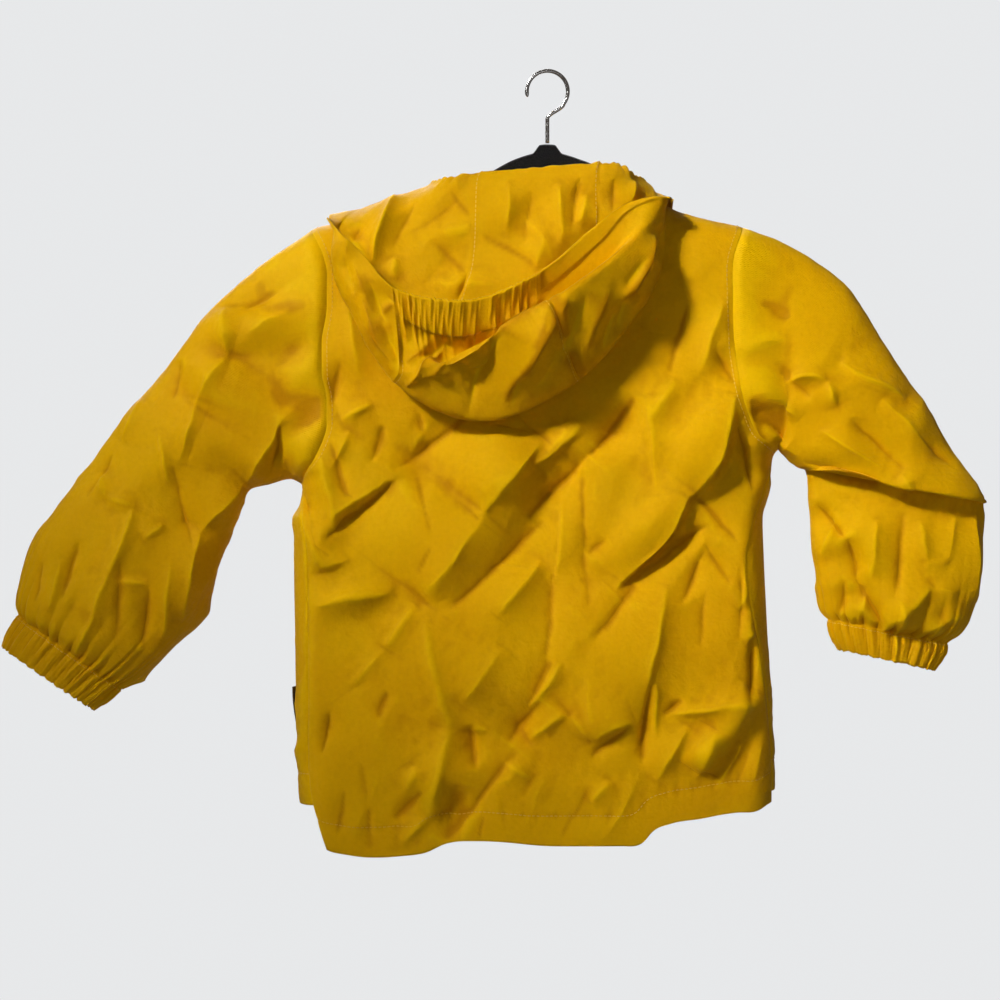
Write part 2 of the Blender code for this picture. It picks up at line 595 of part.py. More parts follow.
def add_hood(back, fronts, material):
    """Three panels and the gathered casing, from the necklines' own points to the face edge."""
    neck = slice(SHOULDER_COLUMNS, SHOULDER_COLUMNS + NECK_COLUMNS + 1)
    before = slice(SHOULDER_COLUMNS, SHOULDER_COLUMNS + FRONT_COLUMNS + 1)
    left, right = ([grid[0, before] for grid in fronts[side]] for side in ("left", "right"))
    middle = [grid[0, neck] for grid in back]
    turn, z = (np.concatenate([a[:0:-1], b, c[1:]]) for a, b, c in zip(left, middle, right))
    out = body_normal(turn, z)
    lift = CLOTH + HOOD_LAP_GAP + np.where(np.arange(len(turn)) < FRONT_COLUMNS, placket_lift(turn), 0)
    seam = body(turn, z) + out * lift[:, None]
    last = FRONT_COLUMNS
    x = seam[:, 0]
    station = np.interp(x, NECK_STATIONS["x"], NECK_STATIONS["station"])
    station[:last] = NECK_STATIONS["station"][0] * np.arange(last) / last
    station[-last:] = HOOD["station"][-1] - station[:last][::-1]
    grid = np.array([hood_column(p, s) for p, s in zip(seam, station)]).transpose(1, 0, 2)
    normals = grid_normals(grid)
    if np.sum(normals[0] * out) < 0:
        normals = -normals
    cuts = [last + int(np.argmin(np.abs(middle_x - x[last:-last]))) for middle_x in HOOD_SEAMS_X]
    rows = grid.shape[0]
    casing_row = rows - 1 - HOOD_SPANS[-1]
    gap = SEAM_GAP / 2
    for name, start, end, row_end in (
        ("hood_left", 0, cuts[0], rows),
        ("hood_centre", cuts[0], cuts[1], casing_row + 1),
        ("hood_right", cuts[1], len(x) - 1, rows),
    ):
        piece = grid[:row_end, start : end + 1]
        edges = dict(top=SEAM_GAP, left=gap if start else 0, right=gap if end < len(x) - 1 else 0)
        edges["bottom"] = gap if row_end < rows else 0
        add_wall(name, drawn_back(piece, **edges), normals[:row_end, start : end + 1], material)
    add_casing(grid, normals, casing_row, cuts, gap, material)


def add_casing(grid, normals, casing_row, cuts, gap, material):
    """Elastic casing, gathered along the hood's face edge."""
    count = CASING_PLEATS * POINTS_PER_PLEAT
    share = np.arange(count + 1) / count
    place = cuts[0] + (cuts[1] - cuts[0]) * share
    k = np.clip(place.astype(int), 0, cuts[1] - 1)
    t = (place - k)[:, None]
    rows = slice(casing_row, None)
    fine = grid[rows][:, k] * (1 - t) + grid[rows][:, k + 1] * t
    out = unit(normals[rows][:, k] * (1 - t) + normals[rows][:, k + 1] * t)
    wave = CASING_PLEAT * np.sin(2 * np.pi * CASING_PLEATS * share)
    wave *= np.clip(CASING_PLEATS * np.minimum(share, 1 - share), 0, 1)
    pleated = fine + out * np.array(CASING_SWELL)[:, None, None] * wave[:, None]
    walls = grid_normals(pleated)
    if np.sum(walls * out) < 0:
        walls = -walls
    walls[0] = out[0]
    walls[:, [0, -1]] = out[:, [0, -1]]
    pleated = drawn_back(pleated, top=gap, left=gap, right=gap)
    add_wall("hood_casing", pleated, walls, material)


def placket_lift(turn):
    """How far the left front rises to lap over the right one."""
    share = np.clip((PLACKET_RISE[1] - turn) / (PLACKET_RISE[1] - PLACKET_RISE[0]), 0, 1)
    return PLACKET_LIFT * share**2 * (3 - 2 * share)


def add_front(side, grids, material):
    """One front. The left one laps over the right one along the placket."""
    turn, z = grids
    points, normals = body(turn, z), body_normal(turn, z)
    if side == "left":
        points = points + normals * placket_lift(turn)[..., None]
    half = SEAM_GAP / 2
    neck = drawn_back(points, top=half, left=half)
    return add_wall("front_" + side, neck, normals, material)


def add_tag(material):
    """Small folded tag that stands out of the left side, made from the front's points."""
    across = np.linspace(*TAG["turn"], TAG["points"])
    turn, z = np.meshgrid(across, np.linspace(TAG["top"], TAG["bottom"], TAG["points"]))
    normals = body_normal(turn, z)
    lift = CLOTH / 2 + SEAM_GAP * 2 + TAG["thick"] / 2
    add_wall("side_tag", body(turn, z) + normals * lift, normals, material, thick=TAG["thick"])


def add_studs(material):
    """Press-stud caps down the placket, each laid flat on the left front."""
    sides = STUD_SIDES
    around = 2 * np.pi * np.arange(sides) / sides
    for number, height in enumerate(STUD_HEIGHTS, 1):
        turn, z = np.array(CENTRE_FRONT), np.array(float(height))
        normal = body_normal(turn, z)
        centre = body(turn, z) + normal * (PLACKET_LIFT + CLOTH / 2 + SEAM_GAP * 2)
        side_way = unit(np.cross([0.0, 0.0, 1.0], normal))
        up = np.cross(normal, side_way)
        rim = np.cos(around)[:, None] * side_way + np.sin(around)[:, None] * up
        low = centre + STUD_RADIUS * rim
        shoulder = low + STUD_RIM * normal
        crown = centre + STUD_CROWN * rim + STUD_HEIGHT * normal
        points = np.concatenate([low, shoulder, crown])
        faces = [tuple(range(sides)), tuple(range(2 * sides, 3 * sides))[::-1]]
        for ring in (0, sides):
            for i in range(sides):
                j = (i + 1) % sides
                faces.append((ring + i, ring + sides + i, ring + sides + j, ring + j))
        add_object(f"stud_{number}", points, faces, material)


def add_hanger_arms(material):
    """Flat arms under the shoulders, with a boss in the middle for the hook."""
    x = np.array(HANGER_EDGE["x"], float)
    top = shoulder_z(x) - np.array(HANGER_EDGE["drop"])
    foot = top - np.array(HANGER_EDGE["height"])
    grid = np.stack([
        np.stack([x, np.zeros_like(x), top + (foot - top) * share], axis=-1)
        for share in (0, HANGER_BEVEL, 1 - HANGER_BEVEL, 1)
    ])
    ways = np.broadcast_to([0.0, 1.0, 0.0], grid.shape).copy()
    ways[[0, -1]] *= HANGER_EDGE_THICK / HANGER_THICK
    return add_wall("hanger_arms", grid, ways, material, thick=HANGER_THICK)


def add_hook(material):
    """Bent wire: round the rail, back over the middle and down into the boss."""
    radius = HOOK_INNER + HOOK_WIRE / 2
    angles = np.radians(np.linspace(HOOK_START, HOOK_END, HOOK_POINTS))
    points = [(radius * math.cos(a), radius * math.sin(a) - HOOK_INNER) for a in angles]
    last_x, last_z = points[-1]
    for share in NECK_SHARES:
        ease = share * share * (3 - 2 * share)
        points.append((last_x * (1 - ease), last_z + (STEM_TOP - last_z) * share))
    points += [(0.0, STEM_TOP), (0.0, (STEM_TOP + STEM_FOOT) / 2), (0.0, STEM_FOOT)]
    curve = bpy.data.curves.new("hanger_hook", "CURVE")
    curve.dimensions = "3D"
    curve.bevel_depth = HOOK_WIRE / 2 * MM
    curve.bevel_resolution = HOOK_ROUNDNESS
    curve.use_fill_caps = True
    spline = curve.splines.new("POLY")
    spline.points.add(len(points) - 1)
    for point, (x, z) in zip(spline.points, points):
        point.co = (x * MM, 0.0, z * MM, 1.0)
    curve.materials.append(material)
    thing = bpy.data.objects.new("hanger_hook", curve)
    bpy.context.collection.objects.link(thing)
    return thing


def build():
    for thing in list(bpy.data.objects):
        bpy.data.objects.remove(thing)
    cloth = colour_material("coat_cloth", CLOTH_COLOUR, 0.6)
    back = back_grid()
    fronts = {side: front_grid(side) for side in ("left", "right")}
    half = SEAM_GAP / 2
    points = drawn_back(body(*back), top=half, left=half, right=half)
    add_wall("back", points, body_normal(*back), cloth)
    for side in ("left", "right"):
        add_front(side, fronts[side], cloth)
        add_sleeve(side, back, fronts[side], cloth)
    add_hood(back, fronts, cloth)
    add_tag(colour_material("tag_cloth", TAG_COLOUR, 0.7))
    add_studs(colour_material("stud_plastic", CLOTH_COLOUR, 0.35))
    add_hanger_arms(colour_material("hanger_velvet", BLACK, 0.95))
    add_hook(colour_material("hook_metal", METAL, 0.25, 1.0))


build()
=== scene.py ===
# Kids hooded raincoat on a hanger: the finish of its cloth, sewing, hanger and hook.
# Lengths are in millimetres until a mesh is made. The coat's back faces -Y and +Z is up.
import json
import math

import bmesh
import bpy
import numpy as np
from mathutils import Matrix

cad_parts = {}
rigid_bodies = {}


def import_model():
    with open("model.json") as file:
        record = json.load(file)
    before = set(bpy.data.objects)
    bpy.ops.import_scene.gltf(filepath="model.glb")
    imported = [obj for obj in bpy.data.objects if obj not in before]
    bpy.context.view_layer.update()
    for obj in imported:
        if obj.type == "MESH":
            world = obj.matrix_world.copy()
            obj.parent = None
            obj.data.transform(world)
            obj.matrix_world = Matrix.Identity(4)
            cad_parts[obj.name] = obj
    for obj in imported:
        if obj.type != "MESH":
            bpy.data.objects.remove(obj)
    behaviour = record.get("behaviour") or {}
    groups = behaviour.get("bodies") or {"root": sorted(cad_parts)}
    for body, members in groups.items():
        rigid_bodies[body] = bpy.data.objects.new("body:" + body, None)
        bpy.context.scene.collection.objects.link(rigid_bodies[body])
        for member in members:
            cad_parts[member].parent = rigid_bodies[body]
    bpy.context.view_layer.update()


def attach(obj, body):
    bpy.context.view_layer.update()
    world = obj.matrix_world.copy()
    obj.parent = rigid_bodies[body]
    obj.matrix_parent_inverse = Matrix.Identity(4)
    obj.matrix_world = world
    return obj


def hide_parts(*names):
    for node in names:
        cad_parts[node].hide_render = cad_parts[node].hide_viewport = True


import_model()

mm = 0.001
clothSlot = "coat_cloth"


# curves and grids

def curveThrough(places, values, at):
    # smooth curve through values at increasing places, read at each place in at
    order = np.argsort(places)
    places, values = np.asarray(places, float)[order], np.asarray(values, float)[order]
    at = np.clip(at, places[0], places[-1])
    slopes = np.gradient(values, places)
    turning = np.diff(values)[:-1] * np.diff(values)[1:] <= 0
    slopes[1:-1][turning] = 0
    k = np.clip(np.searchsorted(places, at, side="right") - 1, 0, len(places) - 2)
    span = places[k + 1] - places[k]
    t = (at - places[k]) / span
    level = (2 * t**3 - 3 * t**2 + 1) * values[k] + (3 * t**2 - 2 * t**3) * values[k + 1]
    return level + span * ((t**3 - 2 * t**2 + t) * slopes[k] + (t**3 - t**2) * slopes[k + 1])


def smoothThrough(keys, knots, at):
    # the same for whole rows of points: keys[k] is the row at knots[k]
    slopes = np.gradient(keys, knots, axis=0)
    k = np.clip(np.searchsorted(knots, at, side="right") - 1, 0, len(knots) - 2)
    shape = (-1,) + (1,) * (keys.ndim - 1)
    span = (knots[k + 1] - knots[k]).reshape(shape)
    t = ((at - knots[k]) / (knots[k + 1] - knots[k])).reshape(shape)
    level = (2 * t**3 - 3 * t**2 + 1) * keys[k] + (3 * t**2 - 2 * t**3) * keys[k + 1]
    return level + span * ((t**3 - 2 * t**2 + t) * slopes[k] + (t**3 - t**2) * slopes[k + 1])


def unit(vectors):
    return vectors / np.maximum(np.linalg.norm(vectors, axis=-1, keepdims=True), 1e-9)


def gridNormals(grid, ring=False):
    if ring:
        grid = np.concatenate([grid, grid[:, :1]], axis=1)
    quads = unit(np.cross(grid[1:, :-1] - grid[:-1, 1:], grid[1:, 1:] - grid[:-1, :-1]))
    total = np.zeros(grid.shape)
    for rows in (slice(None, -1), slice(1, None)):
        for columns in (slice(None, -1), slice(1, None)):
            total[rows, columns] += quads
    if ring:
        total[:, 0] += total[:, -1]
        total = total[:, :-1]
    return unit(total)


def outwards(normals, guide):
    return normals if np.sum(normals * guide) > 0 else -normals


def stepLengths(grid, axis):
    # distance walked along an axis of the grid, from its first line
    steps = np.linalg.norm(np.diff(grid, axis=axis), axis=-1)
    start = np.zeros_like(np.take(steps, [0], axis=axis))
    return np.concatenate([start, np.cumsum(steps, axis=axis)], axis=axis)


def smoothStep(low, high, at):
    t = np.clip((at - low) / (high - low), 0, 1)
    return t * t * (3 - 2 * t)


# wrinkles

def hashed(i, j, seed):
    n = (i.astype(np.int64) * 374761393 + j.astype(np.int64) * 668265263 + seed * 974634777) & 0xFFFFFFFF
    n = ((n ^ (n >> 13)) * 1274126177) & 0xFFFFFFFF
    return ((n ^ (n >> 16)) & 0xFFFF) / 0xFFFF


def noise(u, v, seed):
    # gradient noise, about -0.7 to 0.7
    i, j = np.floor(u), np.floor(v)
    fu, fv = u - i, v - j
    total = 0
    for di in (0, 1):
        for dj in (0, 1):
            angle = 2 * np.pi * hashed(i + di, j + dj, seed)
            slope = np.cos(angle) * (fu - di) + np.sin(angle) * (fv - dj)
            weightU = fu if di else 1 - fu
            weightV = fv if dj else 1 - fv
            total = total + slope * (weightU**2 * (3 - 2 * weightU)) * (weightV**2 * (3 - 2 * weightV))
    return total


def crumple(u, v, size, seed, slant=0.5, stretch=1.6):
    # crisp small ridges and troughs, longer along the slant
    c, s = math.cos(slant), math.sin(slant)
    a, b = (c * u + s * v) / (size * stretch), (c * v - s * u) / size
    a, b = a + 0.5 * noise(a * 0.7, b * 0.7, seed + 5), b + 0.5 * noise(a * 0.7 + 9, b * 0.7, seed + 6)
    ridges = 0.26 - np.abs(noise(a, b, seed))
    troughs = np.abs(noise(a * 1.3 + 4.2, b * 1.3 + 1.7, seed + 1)) - 0.2
    return 2 * (ridges + 0.8 * troughs)


def facets(u, v, size, seed, slant=0.9, stretch=1.6):
    # shallow hollows that meet in crisp ridges, from 0 to about 1, longer along the slant
    c, s = math.cos(slant), math.sin(slant)
    a, b = (c * u + s * v) / (size * stretch), (c * v - s * u) / size
    a, b = a + 0.35 * noise(a * 0.8, b * 0.8, seed + 5), b + 0.35 * noise(a * 0.8 + 9, b * 0.8, seed + 6)
    i, j = np.floor(a), np.floor(b)
    lowest = np.full(np.shape(a), 9.0)
    for di in (-1, 0, 1):
        for dj in (-1, 0, 1):
            chance = [hashed(i + di, j + dj, seed + k) for k in range(5)]
            da, db = a - i - di - chance[0], b - j - dj - chance[1]
            hollow = 0.75 * (da**2 + db**2) + 0.9 * ((chance[2] - 0.5) * da + (chance[3] - 0.5) * db)
            lowest = np.minimum(lowest, hollow + 0.45 * chance[4])
    return lowest


def creased(creases, x, z, crest=0.3, lift=1.75, pinch=1.2):
    # Each crease: fromX, fromZ, toX, toZ, bow, height, and how far it fades on its left and its right hand.
    total = np.zeros(np.broadcast(x, z).shape)
    x, z = (x + 2.4 * noise(x / 24, z / 24, 5) + 0.5 * noise(x / 7, z / 7, 7),
            z + 2.4 * noise(x / 24 + 7, z / 24 + 3, 6) + 0.5 * noise(x / 7 + 5, z / 7, 8))
    for x0, z0, x1, z1, bow, height, leftFade, rightFade in creases:
        dx, dz = x1 - x0, z1 - z0
        length = math.hypot(dx, dz)
        along = ((x - x0) * dx + (z - z0) * dz) / length**2
        t = np.clip(along, 0, 1)
        away = (dx * (z - z0) - dz * (x - x0)) / length - bow * 4 * t * (1 - t)
        swell = np.sin(np.pi * t)
        fade = np.where(away > 0, leftFade, rightFade) * (0.4 + 0.6 * swell)
        beyond = (along - t) * length
        far = np.sqrt(away**2 + 4 * beyond**2 + crest**2) - crest
        total += lift * height * (0.03 + 0.97 * swell**0.8) * np.exp(-far / fade)
        total += pinch * np.clip(height / 4, -1, 1) * swell * np.exp(-far / 2.0)
    return total


# form of the coat

clothThick = 1.2
coat = {
    "shoulderX": [-214, -198, -168, -147, -123, -101, -78, -52, -26, 0, 26, 46, 60, 78, 106, 122, 158, 185, 214],
    "shoulderZ": [-138, -130, -123, -117, -110, -104, -95, -81, -67, -61, -67, -76, -87, -98, -113, -118, -126,
                  -136, -151],
    "sideZ": [-640, -585, -554, -506, -458, -394, -362, -350, -334, -310, -290, -60],
    "leftX": [-199, -200, -199, -204, -205, -206, -206, -201, -198, -207, -214, -214],
    "rightX": [184, 184, 184, 181, 179, 176, 175, 177, 181, 183, 197, 205],
    "leftSeamZ": [-640, -627, -618, -591, -506, -394, -360, -334, -310, -286, -266, -245, -221, -191, -167, -151,
                  -130],
    "leftSeamX": [-176, -177, -180, -188, -192, -192, -197, -198, -185, -177, -177, -181, -181, -177, -177, -180,
                  -190],
    "rightSeamZ": [-640, -585, -520, -470, -426, -394, -370, -338, -310, -294, -272, -250, -220, -182, -151,
                   -126],
    "rightSeamX": [180, 180, 177, 170, 161, 158, 163, 173, 183, 168, 158, 153, 149, 148, 149, 158],
    "depthZ": [-640, -540, -450, -350, -250, -150, -90],
    "backDepth": [30, 33, 35, 33, 31, 28, 25],
    "frontDepth": [28, 31, 32, 32, 30, 29, 27],
    "armpitX": [-198, 183],
    "armpitZ": [-334, -310],
    "frontHemX": [-200, 184],
    "frontHemZ": [-591, -580],
    "backHemX": [-190, -177, -160, -142, -118, -98, -82, -54, 10, 60, 76, 84, 98, 122, 150, 168, 182],
    "backHemZ": [-618, -626, -630, -632, -631, -628, -621, -619, -623, -623, -620, -611, -605, -601, -596, -595,
                 -588],
    "neckX": (-84.0, 72.0),
    "backNeckDrop": 17.0,
    "frontNeckDrop": 56.0,
}
broadFolds = {
    "x0": [-198, -156, -190, 150, 122, 0, -30, 40, 100, 167, 172, -68, -160, 134],
    "z0": [-354, -346, -434, -254, -354, -290, -290, -290, -300, -498, -508, -572, -500, -530],
    "x1": [-182, -184, -122, 58, 50, -20, -50, 30, 70, 126, 134, -84, -120, 116],
    "z1": [-404, -384, -420, -410, -418, -400, -400, -410, -430, -562, -570, -618, -560, -560],
    "height": [5, 5, 5, 9, -7, -5, 5, 4, -4, 12, -8, -6, 4, 6],
    "width": [11, 11, 12, 17, 15, 26, 22, 24, 20, 14, 13, 12, 16, 12],
}


def rounding(distance, radius):
    share = np.minimum(np.abs(distance) / radius, 1)
    return np.sign(distance) * np.sqrt(1 - (1 - share) ** 2)


def broadShape(x, z):
    total = np.zeros(np.broadcast(x, z).shape)
    for x0, z0, x1, z1, height, width in zip(*broadFolds.values()):
        length = math.hypot(x1 - x0, z1 - z0)
        along = ((x - x0) * (x1 - x0) + (z - z0) * (z1 - z0)) / length**2
        away = ((x - x0) * (z1 - z0) - (z - z0) * (x1 - x0)) / length
        taper = np.sin(np.pi * np.clip(along, 0, 1)) ** 0.7
        total = total + height * taper * np.exp(-((away / width) ** 2))
    return total


def shoulderHeight(x):
    return curveThrough(coat["shoulderX"], coat["shoulderZ"], x)


def middleAndHalf(z):
    left, right = (curveThrough(coat["sideZ"], coat[side], z) for side in ("leftX", "rightX"))
    return (left + right) / 2, (right - left) / 2


def turnAt(x, z):
    middle, half = middleAndHalf(z)
    return np.arccos(np.clip((middle - x) / half, -1, 1)) / np.pi


def body(turn, z):
    # Middle of the cloth. Turns 0 to 1 run over the back from left to right, and 1 to 2 over the front.
    middle, half = middleAndHalf(z)
    x = middle - half * np.cos(np.pi * turn)
    drop = shoulderHeight(x) - z
    inside = half * (1 - np.abs(np.cos(np.pi * turn)))
    shape = np.sign(np.sin(np.pi * turn)) * rounding(inside, 26) * rounding(drop, 25)
    back = curveThrough(coat["depthZ"], coat["backDepth"], z) + broadShape(x, z)
    front = curveThrough(coat["depthZ"], coat["frontDepth"], z)
    y = -np.where(shape > 0, back, front) * shape
    return np.stack([x, y, z + np.minimum(2 * drop, 0)], axis=-1)


def bodyNormal(turn, z):
    across = body(turn + 0.004, z) - body(turn - 0.004, z)
    down = body(turn, z - 1) - body(turn, z + 1)
    return unit(np.cross(down, across))


def seamTurn(side, z):
    return turnAt(curveThrough(coat[side + "SeamZ"], coat[side + "SeamX"], z), z)


def frontTurn(side, z):
    edge = seamTurn(side, z)
    above = z > coat["armpitZ"][side == "right"]
    return np.where(above, 2 - edge, edge + (2 if side == "left" else 0))


def topEdge(x, neckDepth):
    first, last = coat["neckX"]
    corners = np.interp(x, (first, last), shoulderHeight(np.array((first, last))))
    share = np.clip(np.abs(x - (first + last) / 2) / ((last - first) / 2), 0, 1)
    inNeck = (x > first) & (x < last)
    return np.where(inNeck, corners - neckDepth * (1 - share**2.2), shoulderHeight(x))


def levelHeight(level, x, neckDepth):
    # Levels: 0 shoulder, 1 armpit, 2 front hem, 3 back hem.
    pit = np.interp(x, coat["armpitX"], coat["armpitZ"])
    hem = np.interp(x, coat["frontHemX"], coat["frontHemZ"])
    low = np.minimum(curveThrough(coat["backHemX"], coat["backHemZ"], x), hem - 4)
    lines = [topEdge(x, neckDepth), pit, hem, low]
    k = np.clip(np.floor(level).astype(int), 0, 2)
    start = np.choose(k, lines[:3])
    return start + (level - k) * (np.choose(k, lines[1:]) - start)


def calmEdge(edge):
    # the edge's turn averaged over 90 mm, so that the inner columns don't copy each bend of a seam
    z = np.arange(-720.0, 20.0, 2.0)
    window = np.hanning(47)[1:-1]
    values = np.convolve(np.pad(edge(z), 22, mode="edge"), window / window.sum(), mode="valid")
    return lambda at: np.interp(at, z, values)


def panelGrid(shares, rows, firstEdge, lastEdge, neckDepth):
    share, level = np.meshgrid(shares, rows)
    nearFirst, nearLast = (np.clip(1 - s / 0.22, 0, 1) ** 2 for s in (share, 1 - share))
    calmFirst, calmLast = calmEdge(firstEdge), calmEdge(lastEdge)
    z = np.full(share.shape, -300.0)
    for step in range(24):
        first, last = calmFirst(z), calmLast(z)
        turn = first + share * (last - first) + nearFirst * (firstEdge(z) - first) + nearLast * (lastEdge(z) - last)
        z = 0.5 * z + 0.5 * levelHeight(level, body(turn, z)[..., 0], neckDepth)
    return turn, z


def neckShare(x, firstEdge, lastEdge, neckDepth, front):
    z = topEdge(np.array(x), neckDepth)
    turn = turnAt(x, z)
    turn = 2 - turn if front else turn
    first, last = calmEdge(firstEdge)(z), calmEdge(lastEdge)(z)
    return float((turn - first) / (last - first))


def rowLevels(armhole, skirt, hem):
    upper = (1 - np.cos(np.pi * np.arange(armhole) / armhole)) / 2
    lower = 1 + np.arange(skirt) / skirt
    last = 2 + np.arange(hem) / max(hem, 1)
    return np.concatenate([upper, lower, last, [3.0 if hem else 2.0]])


# meshes

def material(name):
    return bpy.data.materials.get(name) or bpy.data.materials.new(name)


def addMesh(name, points, faces, slot, smooth=True):
    mesh = bpy.data.meshes.new(name)
    mesh.from_pydata((np.asarray(points).reshape(-1, 3) * mm).tolist(), [], faces)
    mesh.update()
    if smooth:
        mesh.shade_smooth()
    mesh.materials.append(material(slot))
    thing = bpy.data.objects.new(name, mesh)
    bpy.context.collection.objects.link(thing)
    return thing


def gridFaces(rows, columns, ring=False, flip=False):
    i, j = np.meshgrid(np.arange(rows - 1), np.arange(columns if ring else columns - 1), indexing="ij")
    a, b = i * columns + j, i * columns + (j + 1) % columns
    faces = np.stack([a, b, b + columns, a + columns], axis=-1).reshape(-1, 4)
    return (faces[:, ::-1] if flip else faces).tolist()


def addSheet(name, grid, slot, ring=False, attributes=None, towards=None):
    # one layer of cloth; its front side is turned to the direction towards, given for each point
    normals = gridNormals(grid, ring)
    flip = towards is not None and np.sum(normals * towards) < 0
    thing = addMesh(name, grid, gridFaces(*grid.shape[:2], ring, flip), slot)
    along, down = clothPlaces(grid)
    # the fold value is kept for the cloth's colour, which paints a highlight on fold crests and shade in fold valleys
    fold = foldShade(grid, normals * (-1 if flip else 1))
    for label, values in {"clothU": along, "clothV": down, "clothFoldPaintedLight": fold, **(attributes or {})}.items():
        layer = thing.data.attributes.new(label, "FLOAT", "POINT")
        layer.data.foreach_set("value", np.ascontiguousarray(values, dtype=np.float32).ravel())
    return thing


def foldShade(grid, out):
    # above 0 on the crests of folds and below 0 in their valleys; the cloth's colour paints a highlight on the crests
    # and shade in the valleys from it
    total = np.zeros(grid.shape[:2])
    for cells, weight in ((2, 0.9), (5, 0.45)):
        wide = np.pad(grid, ((cells, cells), (cells, cells), (0, 0)), mode="edge")
        around = (wide[:-2 * cells, cells:-cells] + wide[2 * cells:, cells:-cells]
                  + wide[cells:-cells, :-2 * cells] + wide[cells:-cells, 2 * cells:]) / 4
        total += weight * np.sum((grid - around) * out, axis=-1)
    return np.clip(total, -2, 2)


def clothPlaces(grid):
    # lengths along the cloth in metres, which the weave follows
    middle = grid.shape[0] // 2
    along = np.broadcast_to(stepLengths(grid[middle:middle + 1], 1), grid.shape[:2]) * mm
    down = np.broadcast_to(stepLengths(grid[:, grid.shape[1] // 2][:, None], 0), grid.shape[:2]) * mm
    return along, down


# shared ways of making cloth

def seamFade(distance, reach=7.0):
    # wrinkles die away towards a seam
    return smoothStep(0, reach, distance)


def edgeDistance(grid, left=True, right=True, top=True, bottom=True):
    along, down = stepLengths(grid, 1), stepLengths(grid, 0)
    nearest = np.full(grid.shape[:2], 1000.0)
    for wanted, distance in ((left, along), (right, along[:, -1:] - along), (top, down),
                             (bottom, down[-1:] - down)):
        if wanted:
            nearest = np.minimum(nearest, distance)
    return nearest


def smallWrinkles(x, z, size, height, seed):
    # planes that meet in crisp ridges, with patches of finer crumples between smoother ones
    patches = smoothStep(-0.3, 0.35, noise(x / 60, z / 60, seed + 20))
    planes = facets(x, z, size * 3.0, seed + 11, 0.95, 1.7) - 0.4
    finer = facets(x, z, size * 1.1, seed, 0.7, 1.4) - 0.4
    broad = noise(x / 55, z / 90, seed + 30) * 1.6
    finest = facets(x, z, size * 0.5, seed + 7, 1.3, 1.5) - 0.4
    return height * (4.6 * planes + (1.2 + 1.8 * patches) * finer + (0.6 + 1.7 * patches) * finest + broad)


def turnedEdges(points, out, first=(0.7, 4.0), last=(0.7, 4.0)):
    # two more lines of points on each side that turn the edges of a sheet under
    before = [points[:, :1] - out[:, :1] * step for step in first[::-1]]
    after = [points[:, -1:] - out[:, -1:] * step for step in last]
    return np.concatenate([*before, points, *after], axis=1)


def panelShares(counts, marks):
    # places 0 to 1 across a panel, with so many steps between one mark and the next
    runs = [np.linspace(a, b, n + 1)[:-1] for n, a, b in zip(counts, marks[:-1], marks[1:])]
    return np.concatenate(runs + [[marks[-1]]])


def withHem(points, out, depth):
    # The hem is folded up inside, in rows that go back along the cloth.
    walked = stepLengths(points, 0)
    rows = int(np.sum((walked[-1] - walked)[:, points.shape[1] // 2] < depth))
    inner = points[-rows:-1][::-1] - out[-rows:-1][::-1] * clothThick
    bottom = points[-1:] - out[-1:] * clothThick / 2 + [0, 0, -0.5]
    return (np.concatenate([points, bottom, inner]),
            np.concatenate([out, out[-1:], out[-rows:-1][::-1]]))


stitch = {"length": 2.6, "gap": 1.0, "width": 0.8, "sink": 0.1}


def lineIn(points, out, distance, side):
    # a line of points on the cloth at a distance from its left, right, top or bottom edge
    if side in ("top", "bottom"):
        points, out = points.swapaxes(0, 1), out.swapaxes(0, 1)
    if side in ("right", "bottom"):
        points, out = points[:, ::-1], out[:, ::-1]
    walked = stepLengths(points, 1)
    k = np.clip(np.sum(walked < distance, axis=1) - 1, 0, walked.shape[1] - 2)
    rows = np.arange(len(points))
    share = (distance - walked[rows, k]) / np.maximum(walked[rows, k + 1] - walked[rows, k], 1e-6)
    share = np.clip(share, 0, 1)[:, None]
    return [a[rows, k] * (1 - share) + a[rows, k + 1] * share for a in (points, out)]


def stitches(name, lines, slot=clothSlot):
    # each stitch is a small six-sided thread with tapered ends, laid along the line
    points, faces = [], []
    reach, half = np.array([-0.5, -0.36, 0.36, 0.5]), stitch["width"] / 2
    for line, out in lines:
        walked = np.concatenate([[0], np.cumsum(np.linalg.norm(np.diff(line, axis=0), axis=1))])
        count = int(walked[-1] // (stitch["length"] + stitch["gap"]))
        middles = (np.arange(count) + 0.5) * walked[-1] / count
        at = middles[:, None] + reach * stitch["length"]
        spots = np.stack([np.interp(at, walked, line[:, k]) for k in range(3)], axis=-1)
        up = unit(np.stack([np.interp(middles, walked, out[:, k]) for k in range(3)], axis=-1))
        along = unit(spots[:, -1] - spots[:, 0])
        side = np.cross(up, along)
        for number in range(count):
            start = len(points)
            for ring, (size, rise) in enumerate(((0.35, -0.35), (1, 0.2), (1, 0.2), (0.35, -0.35))):
                middle = spots[number, ring] + up[number] * (rise * half - stitch["sink"] + half * 0.5)
                for corner in range(6):
                    angle = math.pi * corner / 3
                    points.append(middle + half * size * (math.cos(angle) * side[number]
                                                          + math.sin(angle) * up[number]))
            for ring in range(3):
                for corner in range(6):
                    a, b = start + ring * 6 + corner, start + ring * 6 + (corner + 1) % 6
                    faces.append((a, a + 6, b + 6, b))
            faces += [tuple(start + c for c in range(6)), tuple(start + 18 + c for c in range(5, -1, -1))]
    piece = addMesh(name, points, faces, slot)
    piece.data.materials[0] = material("thread")
    return place(piece, slot)


def place(piece, slot, *nodes):
    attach(piece, "root")
    if nodes:
        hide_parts(*nodes)
    return piece

# back panel

